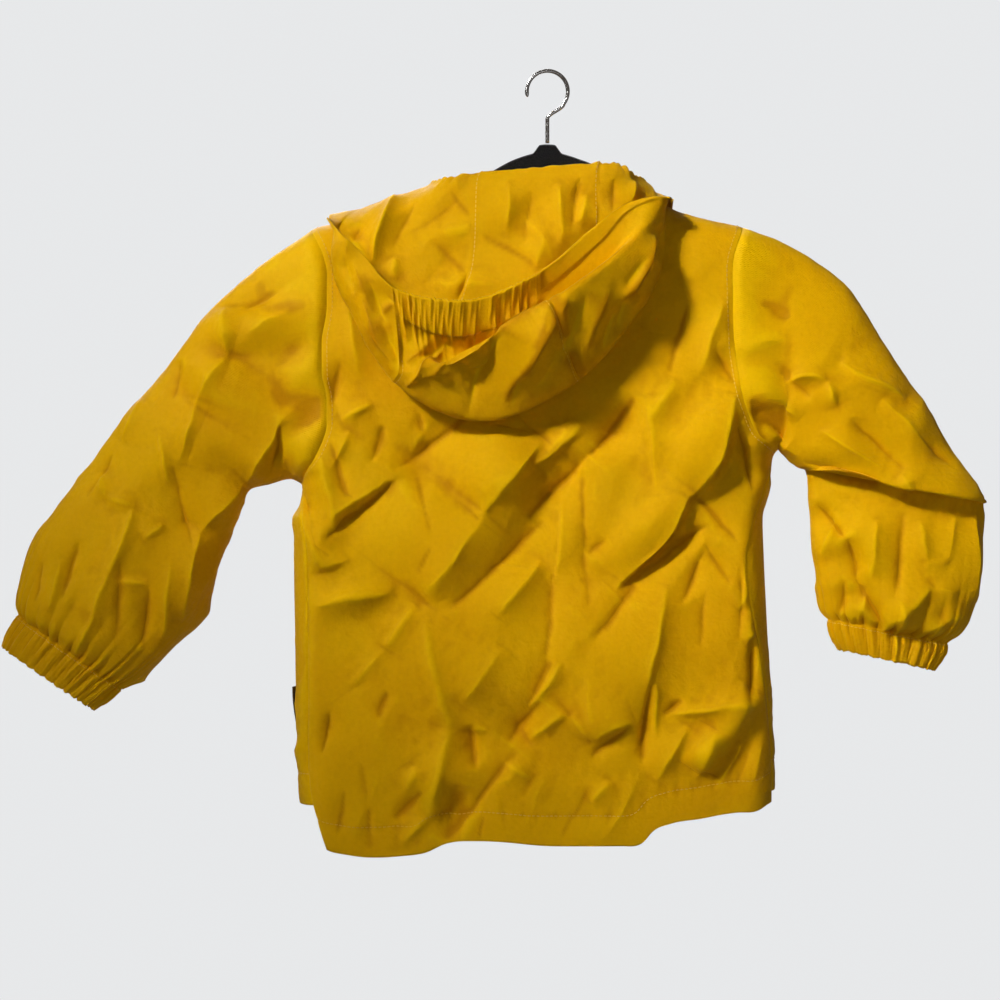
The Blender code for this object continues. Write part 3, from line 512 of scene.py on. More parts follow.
backCloth = {
    "armholeRows": 150,
    "skirtRows": 170,
    "hemRows": 26,
    "neckColumns": 110,
    "sideColumns": 64,
    "crumpleSize": 15,
    "crumpleHeight": 0.5,
    "hemDepth": 27,
    "stitchUp": 25.0,
    "stitchIn": 4.5,
    "seamDip": 0.4,
    # Creases are drawn downwards: fromX, fromZ, toX, toZ, bow, height, fading to the right and to the left.
    "creases": [
        (-117, -329, -179, -382, -2, -6, 22, 12), (-122, -329, -174, -362, -1, 3, 5, 8),
        (-62, -276, -125, -324, 2, -6, 28, 22), (-107, -318, -92, -382, 0, -1.2, 6, 6),
        (-92, -381, -106, -407, 0, -1, 5, 6), (-2, -298, -54, -362, -3, 9, 26, 64),
        (-50, -358, -102, -425, 3, 9.5, 36, 70), (-3, -362, -80, -434, 2, -5, 18, 22),
        (-184, -431, -125, -422, 1, 3.5, 12, 6), (-182, -402, -160, -393, 0, 2.5, 8, 5),
        (-199, -338, -180, -394, -3, -4, 14, 8), (-196, -350, -179, -404, -2, 3, 6, 6),
        (-198, -378, -189, -470, 0, 2.5, 8, 6), (-194, -426, -192, -578, 1, 1.6, 8, 6),
        (-107, -430, -130, -465, 1, 3.5, 12, 9), (-131, -466, -157, -495, 0, 1.6, 6, 8),
        (-6, -394, -42, -439, 2, 3.5, 14, 12), (70, -265, 32, -311, 2, -8, 24, 12),
        (37, -305, -16, -364, -3, -7, 20, 16), (26, -286, -10, -319, 2, 3.5, 9, 9),
        (14, -290, 0, -308, 0, 2, 5, 5), (25, -321, 32, -436, 0, -4, 34, 26),
        (9, -352, -3, -492, 0, -3.6, 12, 48), (12, -346, 3, -420, 1, 2, 6, 6),
        (80, -263, 88, -343, 0, 4.5, 26, 24), (150, -263, 114, -345, 2, 8, 14, 32),
        (115, -340, 54, -418, 3, 8, 10, 34), (128, -364, 58, -418, -2, -4.5, 26, 7),
        (139, -297, 119, -346, 0, 1.8, 4, 4), (119, -345, 152, -380, 1, -2.2, 7, 7),
        (150, -286, 163, -340, 2, -4, 9, 5), (126, -386, 106, -430, 0, -3, 9, 6),
        (125, -380, 146, -415, 0, -2, 7, 7), (125, -417, 122, -462, 0, -2, 8, 8),
        (95, -415, 69, -545, 1, 6.4, 14, 60), (46, -377, 32, -390, 0, -2, 8, 10),
        (70, -413, 35, -457, 2, -3, 14, 8), (163, -417, 152, -434, 0, 3, 7, 9),
        (176, -441, 157, -460, 0, 3, 7, 8), (169, -444, 162, -510, 1, -5, 10, 9),
        (158, -394, 152, -458, 0, -2.4, 8, 8), (-175, -516, -181, -552, 0, -3, 5, 5),
        (-100, -430, -77, -534, -3, 5.2, 52, 26), (-77, -529, -94, -601, -2, 6, 16, 32),
        (-61, -526, -59, -561, 0, -4, 5, 13), (-34, -555, -84, -620, 2, -3, 7, 12),
        (-35, -465, -70, -510, -1, 3, 22, 16), (-5, -506, -32, -540, 0, -5.5, 26, 16),
        (-63, -531, -49, -529, 0, 2, 3, 3), (-35, -556, -13, -569, 0, 2.6, 8, 10),
        (-106, -558, -113, -578, 0, 2.2, 4, 5), (-99, -578, -124, -602, 0, -2.6, 6, 6),
        (-96, -598, -115, -620, 0, 2.2, 5, 5), (-128, -498, -136, -522, 0, -1.8, 5, 6),
        (10, -474, -14, -512, 1, 3, 5, 7), (3, -474, -16, -513, 0, -3, 5, 8),
        (31, -484, 35, -538, 0, 1.6, 9, 9), (-16, -538, 15, -518, 1, 5, 24, 11),
        (33, -538, 69, -523, 1, 5, 24, 11), (15, -519, 34, -538, 1, 2.5, 12, 10),
        (66, -526, 34, -552, 0, -2.6, 8, 6), (82, -487, 74, -559, 0, -5.5, 9, 9),
        (86, -492, 87, -537, 0, 2.4, 4, 4), (93, -518, 163, -510, -1, 4, 14, 8),
        (112, -527, 86, -572, 0, 4, 11, 18), (134, -531, 120, -569, 0, 3, 5, 13),
        (168, -495, 125, -564, 2, 0.8, 17, 13), (109, -506, 93, -518, 0, -2.4, 5, 5),
        (155, -540, 134, -578, 0, 1.8, 5, 5), (171, -542, 162, -577, 0, 1.2, 5, 5),
        (163, -540, 150, -575, 0, -1.2, 5, 5), (50, -572, 34, -586, 0, 2.4, 8, 6),
        (74, -564, 42, -622, 2, 1.6, 9, 14), (35, -572, 10, -620, 0, -1.6, 12, 9),
        (0, -562, -22, -617, 0, 1.3, 8, 16), (-62, -596, -69, -620, 0, 1.2, 4, 4),
        (-51, -596, -56, -618, 0, -1, 4, 4), (-150, -554, -141, -626, 1, -2, 10, 16),
        (-134, -562, -157, -620, 0, 1.4, 9, 12), (-163, -578, -168, -615, 0, -1.2, 6, 6),
        (-158, -290, -173, -322, 0, 2.6, 8, 8), (-130, -286, -141, -316, 0, -2.4, 7, 7),
        (-94, -281, -109, -308, 0, 2, 5, 6), (-141, -270, -166, -282, 0, 3, 7, 7),
        (-104, -274, -99, -298, 0, -2, 5, 5), (-174, -298, -162, -346, 1, -3, 9, 9),
        (-181, -310, -168, -378, 0, 3, 8, 8), (114, -186, 96, -244, 0, -3.5, 14, 12),
        (141, -186, 122, -244, 0, 3, 12, 12), (134, -226, 150, -254, 0, -2.4, 7, 7),
        (102, -250, 83, -282, 0, 2.6, 9, 9), (-162, -186, -150, -250, 0, 2.4, 12, 12),
        (-166, -234, -174, -274, 0, -2.4, 8, 8),
    ],
}


def backEdges():
    return (lambda z: seamTurn("left", z)), (lambda z: seamTurn("right", z))


def buildBack():
    plan = backCloth
    edges = backEdges()
    corners = [neckShare(x, *edges, coat["backNeckDrop"], False) for x in coat["neckX"]]
    shares = panelShares((plan["sideColumns"], plan["neckColumns"], plan["sideColumns"]), (0, *corners, 1))
    rows = rowLevels(plan["armholeRows"], plan["skirtRows"], plan["hemRows"])
    turn, z = panelGrid(shares, rows, *edges, coat["backNeckDrop"])
    flat, out = body(turn, z), bodyNormal(turn, z)
    reach = edgeDistance(flat, bottom=False)
    x, z = flat[..., 0], flat[..., 2]
    height = creased(plan["creases"], x, z)
    height += smallWrinkles(x, z, plan["crumpleSize"], plan["crumpleHeight"], 11)
    height = height * seamFade(reach) - plan["seamDip"] * np.exp(-((reach / 2.2) ** 2))
    height = height + hemPucker(flat, x, plan["stitchUp"], 61)
    points = flat + out * (height + clothThick / 2)[..., None]
    pit = plan["armholeRows"]
    lines = [lineIn(points[:pit, :60], out[:pit, :60], plan["stitchIn"], "left"),
             lineIn(points[:pit, -60:], out[:pit, -60:], plan["stitchIn"], "right")]
    hem = lineIn(points[-90:], out[-90:], plan["stitchUp"], "bottom")
    points, out = withHem(points, out, plan["hemDepth"])
    points = turnedEdges(points, out)
    return addSheet("backPanel", points, clothSlot, towards=np.array([0.0, -1.0, 0.0])), lines, hem


def hemPucker(flat, x, up, seed):
    # the hem's stitches pull the cloth into short soft ripples across them
    toEnd = stepLengths(flat, 0)
    away = toEnd[-1:] - toEnd - up
    ripple = noise(x / 9, away / 60 + 3, seed) + 0.5 * noise(x / 4.2, away / 40 + 8, seed + 1)
    return 1.5 * ripple * np.exp(-((away / 11) ** 2)) - 0.55 * np.exp(-((away / 2.2) ** 2))


backPiece, armholeLines, hemLine = buildBack()
place(backPiece, clothSlot, "back")
sewing = [stitches("armholeStitches", armholeLines), stitches("backHemStitches", [hemLine])]
print("back panel", len(backPiece.data.polygons))




# fronts

frontCloth = {
    "columns": 84,
    "lap": 15.0,
    "lapLift": 2.4,
    "lapRise": (1.54, 1.62),
    "crumpleSize": 16,
    "crumpleHeight": 0.6,
    "creaseCount": 34,
    "placketStitches": (3.0, 27.0),
}


def scatteredCreases(seed, count, xRange, zRange, height=4.0, lean=-0.35):
    # creases for the sides that are seldom seen, in the same manner as the placed ones
    chance = np.random.default_rng(seed)
    rows = []
    for number in range(count):
        x, z = chance.uniform(*xRange), chance.uniform(*zRange)
        length, angle = chance.uniform(28, 110), lean + chance.normal(0, 0.5)
        dx, dz = length * math.sin(angle), -length * math.cos(angle)
        rise = chance.choice([-1, 1]) * chance.uniform(0.35, 1) * height
        rows.append((x, z, x + dx, z + dz, chance.uniform(-3, 3), rise, *chance.uniform(6, 26, 2)))
    return rows


def lapLift(turn):
    start, end = frontCloth["lapRise"]
    return frontCloth["lapLift"] * smoothStep(0, 1, (end - turn) / (end - start))


def buildFront(side):
    plan = frontCloth
    lap = plan["lap"] / 200 / math.pi * (1 if side == "left" else -1)
    shares = np.linspace(0, 1, plan["columns"] + 1)
    shares = 1 - (1 - shares) ** 1.25
    rows = rowLevels(backCloth["armholeRows"], backCloth["skirtRows"], 0)
    turn, z = panelGrid(shares, rows, lambda z: frontTurn(side, z),
                        lambda z: np.full(np.shape(z), 1.5 - lap), coat["frontNeckDrop"])
    flat, out = body(turn, z), bodyNormal(turn, z)
    if side == "left":
        flat = flat + out * lapLift(turn)[..., None]
    x, z = flat[..., 0], flat[..., 2]
    reach = edgeDistance(flat, bottom=False)
    xRange = (-200, -20) if side == "left" else (-20, 180)
    creases = scatteredCreases(3 if side == "left" else 4, plan["creaseCount"], xRange, (-570, -120))
    height = creased(creases, x, z)
    height += smallWrinkles(x, z, plan["crumpleSize"], plan["crumpleHeight"], 31 if side == "left" else 37)
    height = np.maximum(height * seamFade(reach, 12), -1.2) - 0.7 * np.exp(-((reach / 2.2) ** 2))
    height = height + hemPucker(flat, x, backCloth["stitchUp"], 67)
    points = flat + out * (height + clothThick / 2)[..., None]
    lines = [lineIn(points[-90:], out[-90:], backCloth["stitchUp"], "bottom")]
    if side == "left":
        lines += [lineIn(points, out, distance, "right") for distance in plan["placketStitches"]]
    points, out = withHem(points, out, backCloth["hemDepth"])
    points = turnedEdges(points, out, (0.7, 3.0), (0.6, 1.2))
    return addSheet("front" + side.title(), points, clothSlot, towards=np.array([0.0, 1.0, 0.0])), lines


for side in ("left", "right"):
    piece, lines = buildFront(side)
    place(piece, clothSlot, "front_" + side)
    sewing = stitches(side + "FrontStitches", lines)
    print("front", side, len(piece.data.polygons))


# sleeves

leftSleeve = {
    "outerX": [-229, -253, -277, -306, -334, -362, -389, -412, -425, -430, -426],
    "outerZ": [-153, -174, -198, -238, -270, -305, -342, -374, -406, -429, -439],
    "underX": [-207, -223, -244, -253, -258, -266, -276, -288, -310, -331, -346],
    "underZ": [-328, -332, -341, -358, -377, -397, -420, -447, -470, -488, -497],
    "back": [28, 28, 28, 27, 26, 26, 27, 28, 27, 23, 15],
    "front": [28, 28, 27, 26, 26, 26, 26, 27, 26, 22, 15],
    "lift": [0, 0, 0, 0, 0, 0, 0, 0, 0, 0, 0],
    "rows": [5, 14, 15, 22, 20, 22, 22, 20, 17, 13, 8],
    "gathers": 28,
    "creases": [
        (-258, -191, -255, -231, -3, 4.8, 38, 15), (-255, -228, -282, -271, 0, 6, 46, 17),
        (-280, -266, -295, -316, 1, 5, 38, 16), (-243, -200, -262, -264, -2, -1.4, 30, 7),
        (-268, -266, -290, -319, 0, -1.4, 24, 9), (-300, -316, -286, -384, 0, -3.4, 26, 12),
        (-205, -270, -246, -335, 0, 6, 20, 24), (-245, -330, -280, -372, 0, 6, 18, 22),
        (-278, -367, -296, -444, -2, 5, 16, 20), (-331, -352, -354, -411, 1, 3.2, 14, 9),
        (-352, -405, -367, -444, 0, 3.6, 16, 10), (-365, -438, -378, -470, 0, 3.2, 12, 9),
        (-342, -391, -346, -462, 0, -2, 18, 5), (-362, -322, -354, -346, 0, 2.6, 6, 8),
        (-354, -345, -330, -351, 0, 2, 5, 5), (-312, -290, -302, -337, 0, 2.6, 8, 8),
        (-324, -378, -307, -366, 0, 2, 5, 5), (-346, -410, -320, -414, 0, 2, 5, 5),
        (-318, -418, -326, -466, 0, -2.6, 8, 8), (-304, -394, -310, -458, 0, 2.6, 8, 8),
        (-390, -394, -400, -436, 0, 2.4, 8, 8), (-406, -394, -414, -430, 0, -2, 6, 6),
        (-376, -378, -390, -426, 0, -2.6, 8, 8), (-211, -175, -245, -194, 0, -2.4, 5, 10),
        (-209, -196, -240, -214, 0, 2.2, 8, 6),
        (-194, -210, -214, -240, 0, -1.4, 9, 9), (-188, -230, -205, -262, 0, 1.4, 10, 10),
        (-181, -254, -198, -298, 1, -1.6, 10, 9), (-184, -282, -198, -318, 0, 1.6, 9, 9),
        (-212, -280, -224, -326, 0, -2.6, 6, 12),
        
        (-326, -266, -342, -298, 0, 2.2, 9, 9), (-350, -306, -371, -346, 0, -2.4, 9, 9),
        (-294, -234, -302, -266, 0, -2, 8, 8),
    ],
}
rightSleeve = {
    "outerX": [190, 218, 246, 276, 306, 330, 347, 355, 354, 354, 351, 349, 346, 337, 322],
    "outerZ": [-138, -154, -178, -226, -272, -308, -332, -348, -350, -364, -382, -406, -430, -452, -461],
    "underX": [187, 190, 193, 196, 199, 202, 205, 207, 208, 210, 212, 214, 218, 222, 230],
    "underZ": [-304, -308, -312, -316, -318, -320, -321, -322, -324, -338, -358, -385, -410, -433, -442],
    "back": [30, 31, 32, 33, 34, 34, 36, 36, 23, 19, 22, 24, 25, 22, 14],
    "front": [29, 29, 29, 28, 27, 26, 26, 25, 25, 25, 25, 25, 25, 22, 14],
    "lift": [0, 0, 0, 0, 0, 0, 0, -1, 12, 2, 0, 0, 0, 0, 0],
    "rows": [5, 12, 14, 18, 20, 15, 10, 10, 12, 10, 14, 14, 14, 10, 8],
    "gathers": 24,
    "creases": [
        (153, -229, 190, -218, 3, 2.6, 9, 7), (190, -252, 222, -250, 4, 3, 8, 6),
        (222, -250, 230, -271, 1, 2.6, 6, 8), (234, -237, 285, -266, -1, 4, 14, 10),
        (168, -186, 194, -201, 0, -2.4, 8, 8), (155, -244, 202, -282, 2, 4, 12, 10),
        (160, -265, 194, -303, 2, -4, 9, 9), (163, -281, 202, -311, 1, 3.4, 8, 8),
        (158, -270, 182, -310, 0, -3, 7, 7), (178, -234, 211, -266, 0, -2.4, 9, 9),
        (242, -282, 286, -322, 0, -3.5, 12, 12), (266, -266, 310, -310, 0, 3, 12, 12),
        (218, -290, 266, -322, 0, 3.4, 10, 10), (290, -290, 330, -322, 0, -2.6, 9, 9),
        (282, -324, 291, -340, 0, 1.6, 8, 8), (206, -316, 267, -334, 0, -3, 6, 12),
        (217, -349, 240, -377, -1, -5, 10, 10), (240, -375, 248, -414, 1, -5, 9, 10),
        (247, -410, 269, -447, 0, -4, 8, 8), (310, -417, 269, -449, 1, 5, 9, 24),
        (330, -422, 310, -418, 0, 1.4, 6, 6), (336, -439, 317, -444, 0, 1.6, 6, 6),
        (317, -442, 306, -454, 0, 1.6, 6, 6), (301, -398, 320, -394, 0, 1.2, 6, 6),
        (328, -361, 319, -396, 0, 2, 7, 10), (346, -359, 346, -430, -3, 4, 6, 16),
        (266, -362, 258, -410, 0, 3.6, 14, 14), (286, -354, 278, -426, 1, -3.4, 12, 12),
        (232, -354, 222, -394, 0, 2.4, 8, 8), (238, -410, 235, -441, 0, -3, 6, 6),
        (282, -426, 286, -447, 0, 2, 4, 4), (256, -418, 251, -442, 0, 2.4, 5, 5),
        (298, -362, 304, -394, 0, 2.6, 9, 9),
    ],
}


def pleatWave(angle, count, seed):
    # irregular pleats round a closed edge, -1 to 1, with crisp crests
    turns = count / 6
    drift = noise(turns * np.cos(angle) + 9, turns * np.sin(angle) + 9, seed)
    phase = count * angle / (2 * math.pi) + 1.1 * drift
    wave = 2 * np.abs(np.sin(math.pi * phase)) ** 0.65 - 1
    size = 0.75 + 0.9 * noise(2 * turns * np.cos(angle), 2 * turns * np.sin(angle), seed + 1)
    return wave * np.clip(size, 0.3, 1.2)


def ringAt(outer, under, back, front, lift, angle):
    share = ((1 - np.cos(angle)) / 2)[..., None]
    ring = outer[..., None, :] * (1 - share) + under[..., None, :] * share
    depth = np.where(np.sin(angle) > 0, np.asarray(back)[..., None], np.asarray(front)[..., None])
    ring[..., 1] = -depth * np.sign(np.sin(angle)) * np.abs(np.sin(angle)) ** 0.8
    ring[..., 2] += np.asarray(lift)[..., None] * np.clip(np.sin(angle), 0, 1) ** 1.3
    return ring


def sections(plan):
    outer = np.stack([plan["outerX"], np.zeros(len(plan["outerX"])), plan["outerZ"]], axis=-1)
    under = np.stack([plan["underX"], np.zeros(len(plan["underX"])), plan["underZ"]], axis=-1)
    return outer, under


def armholeRing(side):
    # the panels' own edge points, down the back and up the front
    rows = np.append(rowLevels(backCloth["armholeRows"], 0, 0)[:-1], 1.0)
    first, last = backEdges()
    backTurn, backZ = panelGrid(np.array([0.0, 1.0]), rows, first, last, coat["backNeckDrop"])
    frontTurns, frontZ = panelGrid(np.array([0.0]), rows, lambda z: frontTurn(side, z),
                                   lambda z: np.full(np.shape(z), 1.5), coat["frontNeckDrop"])
    column = 0 if side == "left" else 1
    turn = np.concatenate([backTurn[:, column], frontTurns[-2:0:-1, 0]])
    z = np.concatenate([backZ[:, column], frontZ[-2:0:-1, 0]])
    return body(turn, z), bodyNormal(turn, z)


def buildSleeve(side, plan):
    armhole, armholeOut = armholeRing(side)
    angle = 2 * math.pi * np.arange(len(armhole)) / len(armhole)
    keys = ringAt(*sections(plan), plan["back"], plan["front"], plan["lift"], angle)
    keys = np.concatenate([armhole[None], keys])
    knots = np.arange(len(keys))
    places = np.concatenate([k + np.arange(n) / n for k, n in enumerate(plan["rows"])] + [[len(keys) - 1]])
    rings = smoothThrough(keys, knots, places)
    out = gridNormals(rings, ring=True)
    out = outwards(out, rings - rings.mean(axis=1, keepdims=True))
    x, z = rings[..., 0], rings[..., 2]
    walked = stepLengths(rings, 0)
    before, after = walked, walked[-1:] - walked
    seen = smoothStep(-0.15, 0.25, np.sin(angle))
    hidden = scatteredCreases(8 if side == "left" else 9, 22, (x.min(), x.max()), (z.min(), z.max()), 4.0)
    height = creased(plan["creases"], x, z, lift=1.85) * seen + creased(hidden, x, z) * (1 - seen)
    seed = 51 if side == "left" else 57
    wrinkles = smallWrinkles(x, z, 15, 0.5, seed) * seen + smallWrinkles(x, z, 15, 0.6, seed + 3) * (1 - seen)
    height = (height + wrinkles) * seamFade(before, 6) * seamFade(after, 4)
    gathers = pleatWave(angle, plan["gathers"], seed)
    height += 2.3 * gathers * (np.exp(-after / 12) + 0.4 * np.exp(-after / 45))
    height -= 0.4 * np.exp(-((before / 1.8) ** 2))
    points = rings + out * (height + clothThick / 2)[..., None]
    inner = rings[:1] - out[:1] * 3.2
    points = np.concatenate([inner, points])
    thing = addSheet("sleeve" + side.title(), points, clothSlot, ring=True,
                     towards=points - points.mean(axis=1, keepdims=True))
    return thing, (rings, out, angle, height)


sleeveForm = {}
for side, plan in (("left", leftSleeve), ("right", rightSleeve)):
    piece, sleeveForm[side] = buildSleeve(side, plan)
    place(piece, clothSlot, "sleeve_" + side)
    print("sleeve", side, len(piece.data.polygons))


# cuffs

leftCuff = {
    "outerX": [-431, -437, -441],
    "outerZ": [-447, -457, -465],
    "underX": [-351, -360, -368],
    "underZ": [-500, -508, -515],
    "depth": [14, 14, 14],
}
rightCuff = {
    "outerX": [321, 317, 313],
    "outerZ": [-468, -476, -484],
    "underX": [231, 234, 237],
    "underZ": [-449, -459, -467],
    "depth": [13, 13, 13],
}
cuffCloth = {"pointsPerPleat": 18, "rows": 26, "pleatHeight": 2.9}


def buildCuff(side, plan, count):
    rings, out, angle, height = sleeveForm[side]
    fine = 2 * math.pi * np.arange(count * cuffCloth["pointsPerPleat"]) / (count * cuffCloth["pointsPerPleat"])
    seam = np.stack([np.interp(fine, np.append(angle, 2 * math.pi), np.append(rings[-1, :, k], rings[-1, 0, k]))
                     for k in range(3)], axis=-1)
    keys = ringAt(*sections(plan), plan["depth"], plan["depth"], [0, 0, 0], fine)
    keys = np.concatenate([seam[None], keys])
    band = smoothThrough(keys, np.arange(4.0), np.linspace(0, 3, cuffCloth["rows"] + 1))
    out = gridNormals(band, ring=True)
    out = outwards(out, band - band.mean(axis=1, keepdims=True))
    share = np.linspace(0, 1, len(band))[:, None]
    seed = 51 if side == "left" else 57
    # the pleats lean and change a little from the seam to the end
    wave = pleatWave(fine, count, seed) * (1 - share) + pleatWave(fine + 0.05, count, seed) * share
    wave = wave + 0.25 * pleatWave(fine + 0.02, int(count * 1.9), seed + 7)
    swell = 0.45 + 0.55 * np.sin(math.pi * np.clip(share * 1.25, 0, 1)) ** 0.7
    lift = cuffCloth["pleatHeight"] * swell * wave + 1.4 * np.sin(math.pi * share) ** 0.6
    x, z = band[..., 0], band[..., 2]
    lift = lift + 0.35 * crumple(x, z, 5, seed + 9) * np.sin(math.pi * share)
    lift[0] -= 0.9
    points = band + out * (lift + clothThick / 2)[..., None]
    points[-3:] += (0.9 * wave[-1] * np.array([[0.3], [0.6], [1]]))[..., None] * unit(band[-1] - band[-2])
    line = (points[4] * 0.5 + points[3] * 0.5, out[4])
    rows = int(cuffCloth["rows"] * 0.7)
    inside = points[-rows:-1][::-1] - out[-rows:-1][::-1] * 2.4
    # its first row is tucked under the sleeve
    tucked = points[:1] + 3.0 * unit(band[:1] - band[1:2]) - out[:1] * 0.9
    points = np.concatenate([tucked, points, points[-1:] - out[-1:] * 1.2, inside])
    return addSheet("cuff" + side.title(), points, clothSlot, ring=True,
                    towards=points - points.mean(axis=1, keepdims=True)), [line]


for side, plan, sleeve in (("left", leftCuff, leftSleeve), ("right", rightCuff, rightSleeve)):
    piece, lines = buildCuff(side, plan, sleeve["gathers"])
    place(piece, clothSlot, "cuff_" + side)
    stitches(side + "CuffStitches", lines)
    print("cuff", side, len(piece.data.polygons))



# hood

hoodCloth = {
    "station": [0, 1, 2, 2.5, 3, 4, 5, 6, 7, 8, 9, 9.5, 10, 10.4, 11, 12],
    "foldX": [-33, -76, -93, -92, -88, -78, -51, -8, 42, 58, 69, 75, 79, 75, 63, 22],
    "foldY": [38, 35, 4, -8, -18, -31, -34, -35, -34, -31, -18, -8, 3, 17, 36, 38],
    "foldZ": [-138, -102, -90, -89, -89, -88, -84, -81, -77, -78, -84, -85, -86, -89, -101, -138],
    "innerX": [-38, -84, -120, -132, -134, -110, -62, -13, 38, 66, 84, 86, 84, 81, 70, 27],
    "innerY": [41, 38, 2, -19, -32, -40, -42, -43, -42, -41, -30, -18, 3, 18, 39, 41],
    "innerZ": [-141, -111, -100, -106, -122, -146, -180, -180, -160, -134, -112, -99, -90, -94, -111, -141],
    "bottomX": [-42, -90, -146, -166, -172, -158, -117, -52, 22, 76, 94, 93, 88, 86, 76, 32],
    "bottomY": [43, 41, 0, -26, -38, -44, -50, -52, -51, -48, -38, -32, 1, 18, 41, 43],
    "bottomZ": [-145, -118, -109, -128, -156, -194, -258, -284, -252, -190, -142, -117, -96, -101, -120, -145],
    "ridgeX": [-47, -98, -154, -169, -172, -156, -112, -66, -2, 48, 82, 94, 92, 91, 82, 38],
    "ridgeY": [44, 43, -1, -31, -48, -58, -66, -84, -84, -76, -54, -37, -4, 17, 43, 44],
    "ridgeZ": [-148, -123, -116, -127, -150, -184, -247, -228, -193, -158, -126, -111, -98, -104, -124, -148],
    "tuckX": [-52, -105, -162, -172, -170, -153, -113, -67, -6, 44, 77, 95, 95, 95, 87, 43],
    "tuckY": [44, 44, -2, -33, -52, -61, -66, -62, -61, -60, -54, -41, -8, 15, 44, 44],
    "tuckZ": [-151, -127, -120, -125, -144, -174, -228, -234, -203, -164, -120, -108, -100, -107, -128, -151],
    "casingX": [-57, -112, -169, -174, -168, -150, -116, -70, -9, 40, 73, 95, 98, 99, 93, 48],
    "casingY": [44, 44, -3, -35, -53, -61, -66, -65, -63, -60, -52, -45, -13, 12, 44, 44],
    "casingZ": [-154, -131, -122, -123, -138, -163, -204, -220, -191, -152, -115, -106, -103, -110, -132, -154],
    "faceX": [-63, -118, -176, -176, -167, -147, -118, -68, -10, 32, 69, 94, 101, 103, 99, 54],
    "faceY": [43, 43, -4, -37, -53, -60, -67, -75, -73, -62, -50, -50, -19, 8, 43, 43],
    "faceZ": [-158, -135, -125, -121, -132, -152, -181, -190, -169, -134, -109, -105, -106, -113, -136, -158],
    "foldRound": [2.5, 3, 2.5, 2.6, 2.8, 3.6, 3.6, 3.6, 3.6, 3.6, 2.8, 2.6, 2.4, 2.6, 2.8, 2.5],
    "neckX": [-84, -77, -66, -50, -6, 38, 54, 65, 72],
    "neckStation": [2, 3, 4, 5, 6, 7, 8, 9, 10],
    "rows": [12, 5, 5, 40, 46, 44, 24, 14, 22],
    "columns": [34, 220, 34],
    "seamsX": (-52.0, 39.0),
    "clear": (5.5, 10.0),
    # Creases of the side that shows inside the hood, and of the pouch outside. Drawn downwards, as on the back.
    "innerCreases": [
        (-122, -100, -140, -158, -2, -5, 8, 6), (-161, -134, -141, -159, 0, -2.6, 5, 6),
        (-69, -104, -115, -135, 2, 1.6, 14, 10), (-59, -127, -86, -132, 2, -1.8, 8, 8),
        (-122, -153, -122, -170, 0, -2.2, 5, 6), (-31, -94, -31, -135, 0, -2.6, 10, 12),
        (-14, -98, -19, -146, 0, 2, 14, 12), (8, -94, 11, -143, 1, -3.6, 12, 10),
        (26, -89, 18, -132, 0, 2.4, 9, 9), (32, -103, 26, -127, 0, -2, 6, 6), (53, -90, 51, -118, 0, 2.4, 6, 6),
        (69, -90, 66, -113, 0, -3, 5, 5), (-54, -135, -10, -159, 0, 1.6, 8, 8),
        (-94, -138, -62, -170, 0, 1.8, 14, 12), (-150, -126, -157, -143, 0, 2, 6, 6),
        (42, -127, 30, -143, 0, 2.4, 6, 6), (-106, -106, -125, -146, 1, 2.2, 12, 12),
        (-78, -98, -62, -119, 0, 1.2, 9, 9), (-22, -118, 6, -156, 2, -1.8, 10, 12),
        (-136, -167, -122, -186, 0, -2, 6, 6), (-94, -172, -38, -175, -1, -2.5, 9, 9),
        (-2, -138, -11, -161, 0, -2, 8, 8),
    ],
    "outerCreases": [
        (-34, -214, -64, -281, -3, 8, 26, 34), (14, -189, -34, -270, -2, -8, 24, 20),
        (-82, -238, -91, -250, 0, -1.8, 5, 5), (86, -137, 56, -190, 2, -6, 10, 8),
        (106, -110, 69, -183, 3, 3, 8, 8), (54, -196, 43, -228, 0, 2.6, 5, 7), (61, -188, 55, -212, 0, 2, 4, 5),
        (46, -180, 30, -228, 0, -2.6, 9, 9), (10, -226, -14, -263, 0, 2, 12, 12),
        (-2, -199, -14, -226, 0, -1.6, 6, 6), (30, -186, 10, -236, 1, 3, 12, 12),
        (-22, -244, -29, -273, 0, 1.8, 8, 8), (-51, -228, -58, -252, 0, 1.6, 9, 9),
        (-99, -254, -62, -270, -1, 1.4, 8, 8), (-77, -249, -102, -250, 0, -1.2, 6, 6),
        (-162, -143, -154, -186, -2, 2.6, 10, 9), (-157, -156, -136, -201, 0, -2.4, 8, 8),
        (-141, -175, -126, -210, 0, 2.4, 8, 9), (-146, -186, -125, -239, -2, -3, 8, 9),
        (-131, -204, -118, -244, 0, 2.4, 7, 7), (-122, -191, -130, -201, 0, -1.8, 5, 5),
        (-115, -218, -122, -244, 0, 1.8, 6, 6), (-94, -222, -112, -239, 1, -2.8, 6, 7),
        (-82, -225, -112, -257, 1, -4, 5, 6), (-77, -218, -94, -236, 0, 2.2, 6, 5),
        (18, -218, 10, -231, 0, 2, 5, 5), (74, -156, 59, -178, 0, 2, 5, 5),
        (-158, -135, -163, -162, 0, -2, 6, 6),
    ],
}
hoodLines = ["fold", "inner", "bottom", "ridge", "tuck", "casing", "face"]


def hoodPoint(name, station):
    return np.stack([curveThrough(hoodCloth["station"], hoodCloth[name + axis], station) for axis in "XYZ"],
                    axis=-1)


